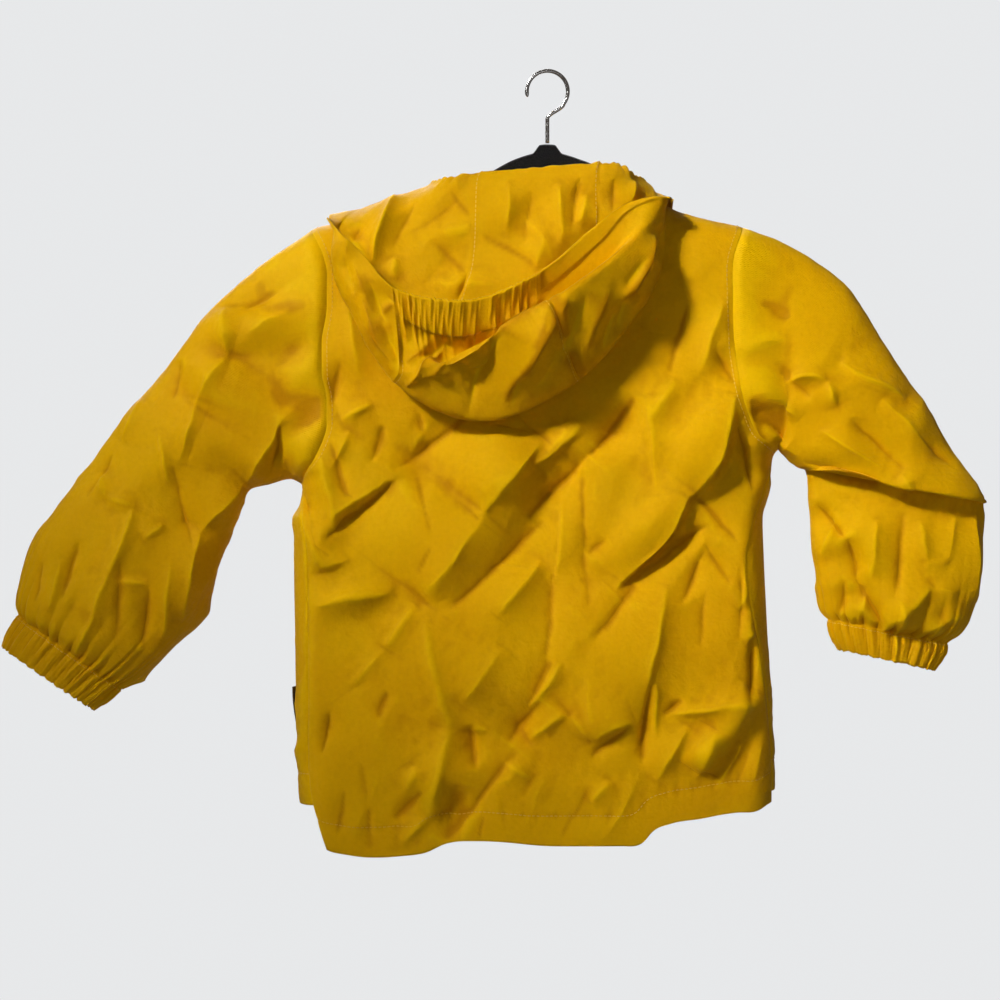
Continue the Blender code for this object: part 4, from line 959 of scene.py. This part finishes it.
def clearOfBody(points, clearance):
    # points after the first are moved out where they are nearer to the coat than their clearance
    x, y, z = points[..., 0], points[..., 1], points[..., 2]
    middle, half = middleAndHalf(z)
    behind = curveThrough(coat["depthZ"], coat["backDepth"], z) + broadShape(x, z)
    before = curveThrough(coat["depthZ"], coat["frontDepth"], z)
    width = rounding(np.maximum(half + clearance - np.abs(x - middle), 0), 26 + clearance)
    depth = np.maximum((np.where(y < 0, behind, before) + clearance) * width, 1)
    above = np.maximum(z - shoulderHeight(x) + 25, 0)
    scale = 1 / np.clip(np.hypot(y / depth, above / (25 + clearance)), 0.3, 1)
    scale[0] = 1
    return np.stack([x, y * scale, z + above * (scale - 1)], axis=-1)


def hoodColumn(neckPoint, station):
    fold, *others = (hoodPoint(name, station) for name in hoodLines)
    radius = curveThrough(hoodCloth["station"], hoodCloth["foldRound"], station)
    outward = unit((others[1] - neckPoint) * [1, 1, 0]) * radius
    below = np.array([0, 0, 1]) * radius
    keys = np.array([neckPoint, fold - outward - below, fold, fold + outward - below, *others])
    knots = np.concatenate([[0], np.cumsum(np.sqrt(np.linalg.norm(np.diff(keys, axis=0), axis=1)))])
    spans = zip(hoodCloth["rows"], knots[:-1], knots[1:])
    places = np.concatenate([a + (b - a) * np.arange(n) / n for n, a, b in spans] + [knots[-1:]])
    return smoothThrough(keys, knots, places)


def frontNeckline(side, count):
    # turns, heights and stations from the lap to the neck corner
    lap = frontCloth["lap"] / 200 / math.pi * (1 if side == "left" else -1)
    corner = neckShare(coat["neckX"][side == "right"], lambda z: frontTurn(side, z),
                       lambda z: np.full(np.shape(z), 1.5 - lap), coat["frontNeckDrop"], True)
    edge = float(frontTurn(side, np.array(-150.0)))
    lapShare = (1.5 + 1.2 * lap - edge) / (1.5 - lap - edge)
    share = np.arange(count) / count
    turn, z = panelGrid(corner + (lapShare - corner) * (1 - share) ** 2, np.array([0.0]),
                        lambda z: frontTurn(side, z), lambda z: np.full(np.shape(z), 1.5 - lap),
                        coat["frontNeckDrop"])
    return turn[0], z[0], hoodCloth["neckStation"][0] * share


def hoodGrid():
    counts = hoodCloth["columns"]
    lead = frontNeckline("left", counts[0])
    tail = frontNeckline("right", counts[2])
    station = np.linspace(hoodCloth["neckStation"][0], hoodCloth["neckStation"][-1], counts[1] + 1)
    neckX = np.interp(station, hoodCloth["neckStation"], hoodCloth["neckX"])
    neckZ = topEdge(neckX, coat["backNeckDrop"])
    turn = np.concatenate([lead[0], turnAt(neckX, neckZ), tail[0][::-1]])
    z = np.concatenate([lead[1], neckZ, tail[1][::-1]])
    station = np.concatenate([lead[2], station, hoodCloth["station"][-1] - tail[2][::-1]])
    out = bodyNormal(turn, z)
    lift = 1.5 + np.where(np.arange(len(turn)) < counts[0], lapLift(turn), 0)
    seam = body(turn, z) + out * lift[:, None]
    grid = np.array([hoodColumn(p, s) for p, s in zip(seam, station)]).transpose(1, 0, 2)
    clearance = np.linspace(*hoodCloth["clear"], len(grid))[:, None]
    return clearOfBody(grid, np.broadcast_to(clearance, grid.shape[:2])), seam[:, 0]


def buildHood():
    grid, seamX = hoodGrid()
    normals = outwards(gridNormals(grid), grid - grid.mean(axis=(0, 1)))
    marks = np.concatenate([[0], np.cumsum(hoodCloth["rows"])])
    inner, bottom, casing = marks[4], marks[5], marks[8]
    first = hoodCloth["columns"][0]
    middle = slice(first, first + hoodCloth["columns"][1] + 1)
    cuts = [first + int(np.argmin(np.abs(seamX[middle] - x))) for x in hoodCloth["seamsX"]]
    x, z = grid[..., 0], grid[..., 2]
    row = np.arange(len(grid))[:, None]
    outside = smoothStep(bottom - 6, bottom + 8, row)
    # the inner side faces the other way round, so its heights are turned
    facing = -1.0
    height = facing * creased(hoodCloth["innerCreases"], x, z) * (1 - outside)
    height += creased(hoodCloth["outerCreases"], x, z) * outside
    height += smallWrinkles(x, z, 13, 0.45, 71) * smoothStep(0, 30, row)
    foldNoise = noise(np.arange(grid.shape[1]) / 7.0, np.zeros(grid.shape[1]), 77)
    height += 3.4 * foldNoise * np.exp(-(((row - marks[2]) / 9.0) ** 2))
    # the seam at the neck stays on the coat
    height *= smoothStep(0, 9, row)
    return grid, normals, height, marks, cuts


def openPleats(share, count, seed):
    # irregular pleats along an open edge, dying out at its ends
    phase = count * share + 1.1 * noise(share * count / 2.0, share * 0 + 0.5, seed)
    wave = 2 * np.abs(np.sin(math.pi * phase)) ** 0.7 - 1
    size = 0.75 + 0.9 * noise(share * count / 1.3, share * 0 + 3.5, seed + 1)
    ends = np.clip(count * np.minimum(share, 1 - share), 0, 1)
    return wave * np.clip(size, 0.3, 1.2) * ends


def finerColumns(grid, start, end, factor):
    place = np.linspace(start, end, (end - start) * factor + 1)
    k = np.clip(place.astype(int), start, end - 1)
    t = place - k
    t = t[:, None] if grid.ndim == 3 else t
    return grid[:, k] * (1 - t) + grid[:, k + 1] * t


grid, normals, height, marks, cuts = buildHood()
casingRow = int(marks[8])
walked = stepLengths(grid, 0)
toCasing = walked[casingRow] - walked
casing = {"pleats": 14, "finer": 3, "pleatHeight": 2.9, "seed": 83}


def hoodPanel(name, start, end, rowEnd, gathered=False):
    rows = slice(0, rowEnd)
    factor = 2 if gathered else 1
    part, out, lift = (finerColumns(a[rows], start, end, factor) for a in (grid, normals, height))
    across = stepLengths(part, 1)
    dip = np.zeros(lift.shape)
    if start:
        dip += np.exp(-((across / 2.0) ** 2))
    if end < grid.shape[1] - 1:
        dip += np.exp(-(((across[:, -1:] - across) / 2.0) ** 2))
    lift = lift * (1 - dip) - 0.7 * dip
    if gathered:
        share = np.linspace(0, 1, part.shape[1])
        away = finerColumns(toCasing[rows], start, end, factor)
        lift = lift + 1.9 * openPleats(share, casing["pleats"], casing["seed"]) * (
            0.8 * np.exp(-away / 6) + 0.5 * np.exp(-away / 22))
    points = part + unit(out) * lift[..., None]
    lines = []
    if gathered:
        shown = slice(10, rowEnd - 3)
        lines = [lineIn(points[shown], unit(out)[shown], 3.2, side) for side in ("left", "right")]
    else:
        # narrow hem along the face edge
        back = points[-14:-1][::-1] - unit(out)[-14:-1][::-1] * 1.3
        points = np.concatenate([points, points[-1:] - unit(out)[-1:] * 0.7, back])
    return addSheet(name, points, clothSlot, towards=np.resize(out, points.shape)), lines


def buildCasing():
    rows = slice(casingRow, None)
    part, out, lift = (finerColumns(a[rows], *cuts, casing["finer"]) for a in (grid, normals, height))
    out = unit(out)
    share = np.linspace(0, 1, part.shape[1])
    down = np.linspace(0, 1, len(part))[:, None]
    wave = openPleats(share, casing["pleats"], casing["seed"]) * (1 - down) + down * openPleats(
        share + 0.03, casing["pleats"], casing["seed"])
    fine = openPleats(share, casing["pleats"] * 2.7, casing["seed"] + 5)
    swell = 0.4 + 0.6 * np.sin(math.pi * np.clip(down * 1.15, 0, 1)) ** 0.6
    # it starts just above the gathers of the hood, and then takes its own pleats
    seam = lift + 2.5 * openPleats(share, casing["pleats"], casing["seed"]) + 0.8
    lift = lift * (1 - down) * 0.3 + casing["pleatHeight"] * swell * wave + 0.5 * fine * (1 - swell * 0.6)
    lift = lift + 1.2 * np.sin(math.pi * down) ** 0.5
    lift = seam * np.exp(-9 * down) + lift * (1 - np.exp(-9 * down))
    points = part + out * lift[..., None]
    points[-1] += 0.8 * (wave[-1] * 0.5 + fine)[:, None] * unit(part[-1] - part[-2])
    lines = [lineIn(points, out, 2.4, "top")]
    inside = points[2:-1][::-1] - out[2:-1][::-1] * 2.0
    points = np.concatenate([points, points[-1:] - out[-1:] * 1.0, inside])
    return addSheet("hoodCasing", points, clothSlot, towards=np.resize(out, points.shape)), lines


lastColumn = grid.shape[1] - 1
for name, node, span, rowEnd, flat in (
    ("hoodLeft", "hood_left", (0, cuts[0]), len(grid), (0.22, 0.18)),
    ("hoodCentre", "hood_centre", tuple(cuts), casingRow + 1, (0.20, 0.24)),
    ("hoodRight", "hood_right", (cuts[1], lastColumn), len(grid), (0.21, 0.18)),
):
    piece, lines = hoodPanel(name, *span, rowEnd, node == "hood_centre")
    place(piece, clothSlot, node)
    sewing = [stitches(name + "Stitches", lines)] if lines else []
    print("hood", name, len(piece.data.polygons))
piece, lines = buildCasing()
place(piece, clothSlot, "hood_casing")
stitches("casingStitches", lines)

# side tag

sideTag = {"top": -498.0, "bottom": -535.0, "turn": (1.935, 1.99), "columns": 12, "rows": 22, "thick": 0.7}


def buildTag():
    # a folded strip of ribbon: out along one face, round its fold and back
    plan = sideTag
    turn, z = np.meshgrid(np.linspace(*plan["turn"], plan["columns"]),
                          np.linspace(plan["top"], plan["bottom"], plan["rows"]))
    points, out = body(turn, z), bodyNormal(turn, z)
    share = np.linspace(0, 1, plan["columns"])
    wave = 0.25 * np.sin(3.0 * share + (z - plan["top"]) / 9)
    base = clothThick + 0.9 + wave
    outer, inner = points + out * (base + plan["thick"])[..., None], points + out * base[..., None]
    grid = np.concatenate([outer, inner[:, ::-1]], axis=1)
    return addSheet("sideTag", grid, "tag_cloth", towards=np.concatenate([out, -out[:, ::-1]], axis=1))


tagPiece = place(buildTag(), "tag_cloth", "side_tag")
print("side tag", len(tagPiece.data.polygons))


# studs

stud = {
    "heights": [-175, -270, -365, -460, -555],
    "out": [0, 3.2, 4.2, 4.7, 5.2, 5.75, 6.0, 6.0, 5.7],
    "up": [1.75, 1.8, 1.95, 2.0, 1.85, 1.45, 0.9, 0.3, 0.0],
    "sides": 40,
}


def buildStud(number, z):
    turn, z = np.array(1.5), np.array(float(z))
    out = bodyNormal(turn, z)
    centre = body(turn, z) + out * (frontCloth["lapLift"] + clothThick / 2 + 0.6)
    right = unit(np.cross([0.0, 0.0, 1.0], out))
    up = np.cross(out, right)
    angle = 2 * math.pi * np.arange(stud["sides"]) / stud["sides"]
    rim = np.cos(angle)[:, None] * right + np.sin(angle)[:, None] * up
    rings = [centre + rim * max(r, 0.05) + out * h for r, h in zip(stud["out"], stud["up"])]
    faces = gridFaces(len(rings), stud["sides"], True, False) + [tuple(range(stud["sides"]))[::-1]]
    return addMesh("stud" + str(number), np.concatenate(rings), faces, "stud_plastic")


for number, z in enumerate(stud["heights"], 1):
    place(buildStud(number, z), "stud_plastic", "stud_" + str(number))


# hanger

hanger = {
    "x": [-196, -190, -150, -101, -78, -52, -26, -12, -9, -6, 6, 9, 12, 26, 46, 78, 106, 150, 192, 198],
    "drop": [8, 4, 3, 3, 3, 3, 3, 3, 0, -3, -3, 0, 3, 3, 3, 3, 3, 3, 4, 8],
    "height": [4, 10, 13, 14, 16, 20, 26, 29, 32, 35, 35, 32, 29, 26, 22, 16, 14, 13, 10, 4],
    "thick": 5.0,
    "columns": 300,
    "edge": 2.2,
}
hook = {"wire": 3.2, "inner": 15.0, "from": 196.0, "to": -38.0, "stemTop": -37.0, "stemFoot": -57.0,
        "steps": 90, "sides": 18}


def buildHanger():
    # a flat arm whose long edges are rounded, with its ends closed in
    x = np.linspace(hanger["x"][0], hanger["x"][-1], hanger["columns"])
    top = shoulderHeight(x) - curveThrough(hanger["x"], hanger["drop"], x)
    foot = top - curveThrough(hanger["x"], hanger["height"], x)
    angle = np.linspace(0, math.pi, 9)
    half = hanger["thick"] / 2
    rise = np.concatenate([-hanger["edge"] * (1 - np.sin(angle)), hanger["edge"] * (1 - np.sin(angle))])
    depth = np.concatenate([half * np.cos(angle), -half * np.cos(angle)])
    upper = np.repeat([1, 0], 9)
    ends = np.sqrt(np.clip(np.minimum(x - x[0], x[-1] - x) / 3.0, 0.02, 1))
    rings = np.stack([np.stack([np.full(18, place), depth * end,
                                np.where(upper, high, low) + rise * 1.0], axis=-1)
                      for place, high, low, end in zip(x, top, foot, ends)])
    faces = gridFaces(*rings.shape[:2], True, False)
    last = (len(rings) - 1) * 18
    faces += [tuple(range(18)), tuple(last + c for c in range(17, -1, -1))]
    return addMesh("hangerArms", rings.reshape(-1, 3), faces, "hanger_velvet")


def buildHook():
    radius = hook["inner"] + hook["wire"] / 2
    angles = np.radians(np.linspace(hook["from"], hook["to"], hook["steps"]))
    line = np.stack([radius * np.cos(angles), radius * np.sin(angles) - hook["inner"]], axis=-1)
    share = np.linspace(0, 1, 26)[1:]
    ease = share**2 * (3 - 2 * share)
    neck = np.stack([line[-1, 0] * (1 - ease), line[-1, 1] + (hook["stemTop"] - line[-1, 1]) * share], axis=-1)
    stem = np.stack([np.zeros(8), np.linspace(hook["stemTop"], hook["stemFoot"], 9)[1:]], axis=-1)
    line = np.concatenate([line, neck, stem])
    way = unit(np.gradient(line, axis=0))
    side = np.stack([way[:, 1], np.zeros(len(way)), -way[:, 0]], axis=-1)
    middle = np.stack([line[:, 0], np.zeros(len(line)), line[:, 1]], axis=-1)
    angle = 2 * math.pi * np.arange(hook["sides"]) / hook["sides"]
    # the free end is rounded over
    size = np.full(len(line), hook["wire"] / 2)
    size[:5] *= [0.25, 0.62, 0.82, 0.93, 0.99]
    rings = middle[:, None] + size[:, None, None] * (np.cos(angle)[:, None] * side[:, None]
                                                     + np.sin(angle)[:, None] * np.array([0.0, 1.0, 0.0]))
    faces = gridFaces(*rings.shape[:2], True, False)
    faces += [tuple(range(hook["sides"])), tuple((len(rings) - 1) * hook["sides"] + c
                                                 for c in range(hook["sides"] - 1, -1, -1))]
    return addMesh("hangerHook", rings.reshape(-1, 3), faces, "hook_metal")


def rightWayOut(piece):
    # make every face point outwards
    bpy.context.view_layer.objects.active = piece
    shape = bmesh.new()
    shape.from_mesh(piece.data)
    bmesh.ops.recalc_face_normals(shape, faces=shape.faces)
    shape.to_mesh(piece.data)
    shape.free()


for piece, slot, node in ((buildHanger(), "hanger_velvet", "hanger_arms"),
                          (buildHook(), "hook_metal", "hanger_hook")):
    place(piece, slot, node)
    rightWayOut(piece)
for number in range(1, 6):
    rightWayOut(bpy.data.objects["stud" + str(number)])
print("studs, hanger and hook")
# materials

def newNode(tree, kind, **values):
    # a node with its inputs linked or set, and its settings set
    node = tree.nodes.new(kind)
    for name, value in values.items():
        socket = node.inputs.get(name.replace("_", " ")) or node.inputs.get(name)
        if isinstance(value, bpy.types.NodeSocket):
            tree.links.new(value, socket)
        elif socket is not None and not hasattr(node, name):
            socket.default_value = value
        else:
            setattr(node, name, value)
    return node


def newGroup(name, inputs, outputs):
    group = bpy.data.node_groups.new(name, "ShaderNodeTree")
    for label, kind, start in inputs:
        socket = group.interface.new_socket(label, in_out="INPUT", socket_type="NodeSocket" + kind)
        if start is not None:
            socket.default_value = start
    for label, kind in outputs:
        group.interface.new_socket(label, in_out="OUTPUT", socket_type="NodeSocket" + kind)
    return group, group.nodes.new("NodeGroupInput"), group.nodes.new("NodeGroupOutput")


def mathNode(tree, operation, first, second=None, third=None):
    node = tree.nodes.new("ShaderNodeMath")
    node.operation = operation
    for socket, value in zip(node.inputs, (first, second, third)):
        if isinstance(value, bpy.types.NodeSocket):
            tree.links.new(value, socket)
        elif value is not None:
            socket.default_value = value
    return node.outputs[0]


def ramp(tree, value, low, high, start=0.0, end=1.0):
    node = tree.nodes.new("ShaderNodeMapRange")
    for name, number in (("From Min", low), ("From Max", high), ("To Min", start), ("To Max", end)):
        node.inputs[name].default_value = number
    tree.links.new(value, node.inputs["Value"])
    return node.outputs[0]


def mixColours(tree, share, first, second):
    node = tree.nodes.new("ShaderNodeMix")
    node.data_type = "RGBA"
    for socket, value in ((node.inputs["Factor"], share), (node.inputs["A"], first), (node.inputs["B"], second)):
        target = [s for s in node.inputs if s.name == socket.name and s.type in ("RGBA", "VALUE")]
        target = target[0] if socket.name == "Factor" else [s for s in target if s.type == "RGBA"][0]
        if isinstance(value, bpy.types.NodeSocket):
            tree.links.new(value, target)
        else:
            target.default_value = value
    return [s for s in node.outputs if s.type == "RGBA"][0]


def weaveGroup():
    # plain weave along and across a cloth, as a height from 0 to 1
    group, given, made = newGroup("plainWeave", [("Along", "Float", 0), ("Across", "Float", 0),
                                                 ("ThreadsPerMetre", "Float", 2000)], [("Height", "Float")])
    waves = []
    for name in ("Along", "Across"):
        turns = mathNode(group, "MULTIPLY", given.outputs[name], given.outputs["ThreadsPerMetre"])
        waves.append(mathNode(group, "SINE", mathNode(group, "MULTIPLY", turns, math.pi)))
    crossed = mathNode(group, "MULTIPLY", waves[0], waves[1])
    group.links.new(ramp(group, crossed, -1, 1), made.inputs["Height"])
    return group


def mottleGroup():
    # soft patches, fine flecks and small dents, each from 0 to 1
    group, given, made = newGroup("clothMottle", [("Place", "Vector", None), ("PatchScale", "Float", 9),
                                                  ("FleckScale", "Float", 260)],
                                  [("Patches", "Float"), ("Flecks", "Float"), ("Dents", "Float")])
    outputs = {}
    for name, scale, detail in (("Patches", "PatchScale", 3.0), ("Flecks", "FleckScale", 2.0)):
        cloud = newNode(group, "ShaderNodeTexNoise", Detail=detail, Roughness=0.55)
        group.links.new(given.outputs["Place"], cloud.inputs["Vector"])
        group.links.new(given.outputs[scale], cloud.inputs["Scale"])
        outputs[name] = ramp(group, cloud.outputs["Fac"], 0.32, 0.68)
    dents = newNode(group, "ShaderNodeTexNoise", Scale=85.0, Detail=3.5, Roughness=0.6, Distortion=0.25)
    group.links.new(given.outputs["Place"], dents.inputs["Vector"])
    outputs["Dents"] = dents.outputs["Fac"]
    for name, socket in outputs.items():
        group.links.new(socket, made.inputs[name])
    return group


weave, mottle = weaveGroup(), mottleGroup()

clothFinish = {
    # lighter colour for random pale patches and for a painted highlight on fold crests
    "paleAndHighlight": (0.860, 0.525, 0.0, 1),
    "usual": (0.770, 0.395, 0.0, 1),
    # painted shade colour for fold valleys, which random flecks also take a little of
    "deep": (0.450, 0.160, 0.0, 1),
    "roughness": (0.44, 0.60),
    "threadsPerMetre": 1650,
    "weaveHeight": 0.00016,
    "dentHeight": 0.0016,
    "sheen": 0.05,
}


def groupIn(tree, group, **values):
    node = tree.nodes.new("ShaderNodeGroup")
    node.node_tree = group
    for name, value in values.items():
        if isinstance(value, bpy.types.NodeSocket):
            tree.links.new(value, node.inputs[name])
        else:
            node.inputs[name].default_value = value
    return node


def startMaterial(name):
    made = material(name)
    made.use_nodes = True
    tree = made.node_tree
    tree.nodes.clear()
    shader = tree.nodes.new("ShaderNodeBsdfPrincipled")
    end = tree.nodes.new("ShaderNodeOutputMaterial")
    tree.links.new(shader.outputs["BSDF"], end.inputs["Surface"])
    return tree, shader


def bumped(tree, shader, heights):
    # bumps one after another, each a height and its depth in metres
    normal = None
    for height, distance in heights:
        bump = tree.nodes.new("ShaderNodeBump")
        bump.inputs["Strength"].default_value = 1.0
        bump.inputs["Distance"].default_value = distance
        tree.links.new(height, bump.inputs["Height"])
        if normal is not None:
            tree.links.new(normal, bump.inputs["Normal"])
        normal = bump.outputs["Normal"]
    tree.links.new(normal, shader.inputs["Normal"])


def finishCloth():
    plan = clothFinish
    tree, shader = startMaterial(clothSlot)
    place = newNode(tree, "ShaderNodeTexCoord").outputs["Object"]
    along = newNode(tree, "ShaderNodeAttribute", attribute_name="clothU").outputs["Fac"]
    across = newNode(tree, "ShaderNodeAttribute", attribute_name="clothV").outputs["Fac"]
    fold = newNode(tree, "ShaderNodeAttribute", attribute_name="clothFoldPaintedLight").outputs["Fac"]
    threads = groupIn(tree, weave, Along=along, Across=across, ThreadsPerMetre=plan["threadsPerMetre"])
    clouds = groupIn(tree, mottle, Place=place)
    # painted shade in the valleys of folds and a painted highlight on their crests
    valley = ramp(tree, fold, -0.05, -1.5)
    crest = ramp(tree, fold, 0.1, 1.3)
    patch = mathNode(tree, "MULTIPLY", clouds.outputs["Patches"], 0.45)
    colour = mixColours(tree, mathNode(tree, "MAXIMUM", patch, mathNode(tree, "MULTIPLY", crest, 0.8)),
                        plan["usual"], plan["paleAndHighlight"])
    # painted shade: fold valleys darkened towards the dark colour, with a little more of it at random from flecks
    deep = mathNode(tree, "MULTIPLY", valley, 0.6)
    fleck = mathNode(tree, "MULTIPLY", clouds.outputs["Flecks"], 0.1)
    colour = mixColours(tree, mathNode(tree, "ADD", deep, fleck), colour, plan["deep"])
    tree.links.new(colour, shader.inputs["Base Color"])
    tree.links.new(ramp(tree, clouds.outputs["Flecks"], 0, 1, *plan["roughness"]), shader.inputs["Roughness"])
    shader.inputs["Sheen Weight"].default_value = plan["sheen"]
    shader.inputs["Sheen Roughness"].default_value = 0.4
    shader.inputs["Sheen Tint"].default_value = (1.0, 0.78, 0.2, 1)
    shader.inputs["Specular IOR Level"].default_value = 0.35
    shader.inputs["Specular Tint"].default_value = (1.0, 0.72, 0.12, 1)
    bumped(tree, shader, [(clouds.outputs["Dents"], plan["dentHeight"]),
                          (threads.outputs["Height"], plan["weaveHeight"])])


finishCloth()


def finishThread():
    # twisted yarn
    tree, shader = startMaterial("thread")
    place = newNode(tree, "ShaderNodeTexCoord").outputs["Object"]
    clouds = groupIn(tree, mottle, Place=place, PatchScale=30.0, FleckScale=900.0)
    tree.links.new(mixColours(tree, clouds.outputs["Patches"], (0.76, 0.40, 0.004, 1), (0.90, 0.55, 0.02, 1)),
                   shader.inputs["Base Color"])
    shader.inputs["Roughness"].default_value = 0.5
    shader.inputs["Sheen Weight"].default_value = 0.2
    twist = newNode(tree, "ShaderNodeTexWave", Scale=420.0, Distortion=0.8)
    tree.links.new(place, twist.inputs["Vector"])
    bumped(tree, shader, [(twist.outputs["Fac"], 0.0002)])


def finishVelvet():
    # short flock, darker where it is pressed flat
    tree, shader = startMaterial("hanger_velvet")
    place = newNode(tree, "ShaderNodeTexCoord").outputs["Object"]
    clouds = groupIn(tree, mottle, Place=place, PatchScale=45.0, FleckScale=1500.0)
    flock = mixColours(tree, clouds.outputs["Flecks"], (0.004, 0.004, 0.005, 1), (0.020, 0.020, 0.022, 1))
    flock = mixColours(tree, mathNode(tree, "MULTIPLY", clouds.outputs["Patches"], 0.3), flock,
                       (0.002, 0.002, 0.003, 1))
    tree.links.new(flock, shader.inputs["Base Color"])
    shader.inputs["Roughness"].default_value = 0.95
    shader.inputs["Sheen Weight"].default_value = 0.45
    shader.inputs["Sheen Roughness"].default_value = 0.35
    shader.inputs["Specular IOR Level"].default_value = 0.15
    bumped(tree, shader, [(clouds.outputs["Dents"], 0.0008), (clouds.outputs["Flecks"], 0.0004)])


def finishMetal():
    # bright plated wire, rubbed dull in small places
    tree, shader = startMaterial("hook_metal")
    place = newNode(tree, "ShaderNodeTexCoord").outputs["Object"]
    clouds = groupIn(tree, mottle, Place=place, PatchScale=60.0, FleckScale=900.0)
    tree.links.new(mixColours(tree, clouds.outputs["Patches"], (0.62, 0.62, 0.63, 1), (0.44, 0.44, 0.45, 1)),
                   shader.inputs["Base Color"])
    tree.links.new(ramp(tree, clouds.outputs["Flecks"], 0, 1, 0.16, 0.34), shader.inputs["Roughness"])
    shader.inputs["Metallic"].default_value = 1.0
    drawn = newNode(tree, "ShaderNodeTexNoise", Scale=1400.0, Detail=2.0)
    tree.links.new(place, drawn.inputs["Vector"])
    bumped(tree, shader, [(drawn.outputs["Fac"], 0.00004)])


def finishPlastic():
    # moulded stud caps with fine handling marks
    tree, shader = startMaterial("stud_plastic")
    place = newNode(tree, "ShaderNodeTexCoord").outputs["Object"]
    clouds = groupIn(tree, mottle, Place=place, PatchScale=120.0, FleckScale=1600.0)
    tree.links.new(mixColours(tree, clouds.outputs["Patches"], (0.74, 0.38, 0.004, 1), (0.86, 0.48, 0.008, 1)),
                   shader.inputs["Base Color"])
    tree.links.new(ramp(tree, clouds.outputs["Flecks"], 0, 1, 0.24, 0.4), shader.inputs["Roughness"])
    bumped(tree, shader, [(clouds.outputs["Dents"], 0.0001)])


def finishTag():
    # brown satin ribbon
    tree, shader = startMaterial("tag_cloth")
    place = newNode(tree, "ShaderNodeTexCoord").outputs["Object"]
    along = newNode(tree, "ShaderNodeAttribute", attribute_name="clothU").outputs["Fac"]
    across = newNode(tree, "ShaderNodeAttribute", attribute_name="clothV").outputs["Fac"]
    threads = groupIn(tree, weave, Along=along, Across=across, ThreadsPerMetre=3200.0)
    clouds = groupIn(tree, mottle, Place=place, PatchScale=80.0)
    tree.links.new(mixColours(tree, clouds.outputs["Patches"], (0.050, 0.024, 0.010, 1), (0.085, 0.045, 0.02, 1)),
                   shader.inputs["Base Color"])
    tree.links.new(ramp(tree, clouds.outputs["Flecks"], 0, 1, 0.4, 0.6), shader.inputs["Roughness"])
    bumped(tree, shader, [(threads.outputs["Height"], 0.0001)])


for finish in (finishThread, finishVelvet, finishMetal, finishPlastic, finishTag):
    finish()
print("materials")


# stage

studio = {
    "keyLight": {"place": (-2.5, -2.7, 2.3), "size": 0.9, "power": 2.9, "spread": 12.5, "colour": (1.0, 0.985, 0.95)},
    "fillLight": {"place": (0.7, -2.5, -0.8), "size": 2.0, "power": 7.5, "spread": 180, "colour": (0.97, 0.98, 1.0)},
    "rimLight": {"place": (-0.6, 1.9, 1.0), "size": 1.4, "power": 24, "spread": 180, "colour": (1.0, 1.0, 1.0)},
    "aim": (0.08, 0.0, -0.12),
    "ambient": 0.1,
    "ambientColour": (0.95, 0.80, 0.66, 1),
    "backdrop": (0.80, 0.81, 0.82, 1),
    "floorGlow": (0.36, 0.365, 0.37, 1),
    "floorLevel": -1.6,
    "floorRadius": 3.9,
}

camera = bpy.data.objects.new("camera", bpy.data.cameras.new("camera"))
bpy.context.collection.objects.link(camera)
camera.location = (-0.0384, -2.23, -0.3464)
camera.rotation_euler = (math.radians(90), 0, 0)
camera.data.sensor_width = 36
camera.data.lens = 36 * 2.2 / 0.8
bpy.context.scene.camera = camera

for name in ("keyLight", "fillLight", "rimLight"):
    plan = studio[name]
    light = bpy.data.lights.new(name, "AREA")
    light.size, light.energy, light.color = plan["size"], plan["power"], plan["colour"]
    light.spread = math.radians(plan["spread"])
    lamp = bpy.data.objects.new(name, light)
    lamp.location = plan["place"]
    aim = np.array(studio["aim"]) - np.array(plan["place"])
    lamp.rotation_euler = (math.acos(-aim[2] / np.linalg.norm(aim)), 0, math.atan2(aim[1], aim[0]) - math.pi / 2)
    bpy.context.collection.objects.link(lamp)

angle = 2 * math.pi * np.arange(96) / 96
rings = [np.stack([r * np.cos(angle), r * np.sin(angle), np.full(96, studio["floorLevel"])], axis=-1)
         for r in (0.05, studio["floorRadius"])]
floorMesh = bpy.data.meshes.new("floor")
floorMesh.from_pydata(np.concatenate(rings).tolist(), [], gridFaces(2, 96, True, False) + [tuple(range(96))])
floor = bpy.data.objects.new("floor", floorMesh)
bpy.context.collection.objects.link(floor)
tree, shader = startMaterial("floor_paint")
clouds = groupIn(tree, mottle, Place=newNode(tree, "ShaderNodeTexCoord").outputs["Object"], PatchScale=3.0)
tree.links.new(mixColours(tree, clouds.outputs["Patches"], (0.70, 0.70, 0.69, 1), (0.74, 0.74, 0.73, 1)),
               shader.inputs["Base Color"])
shader.inputs["Roughness"].default_value = 0.8
shader.inputs["Emission Strength"].default_value = 1.0
seen = newNode(tree, "ShaderNodeLightPath").outputs["Is Camera Ray"]
tree.links.new(mixColours(tree, seen, (0, 0, 0, 1), studio["floorGlow"]), shader.inputs["Emission Color"])
floorMesh.materials.append(material("floor_paint"))

# The pale backdrop is bright where it is seen, and dimmer as the light it gives.
world = bpy.data.worlds.get("World") or bpy.data.worlds.new("World")
bpy.context.scene.world = world
world.use_nodes = True
tree = world.node_tree
background = tree.nodes["Background"]
seen = newNode(tree, "ShaderNodeLightPath").outputs["Is Camera Ray"]
tree.links.new(ramp(tree, seen, 0, 1, studio["ambient"], 1.0), background.inputs["Strength"])
tree.links.new(mixColours(tree, seen, studio["ambientColour"], studio["backdrop"]), background.inputs["Color"])
bpy.context.scene.view_settings.view_transform = "Standard"
print("stage")
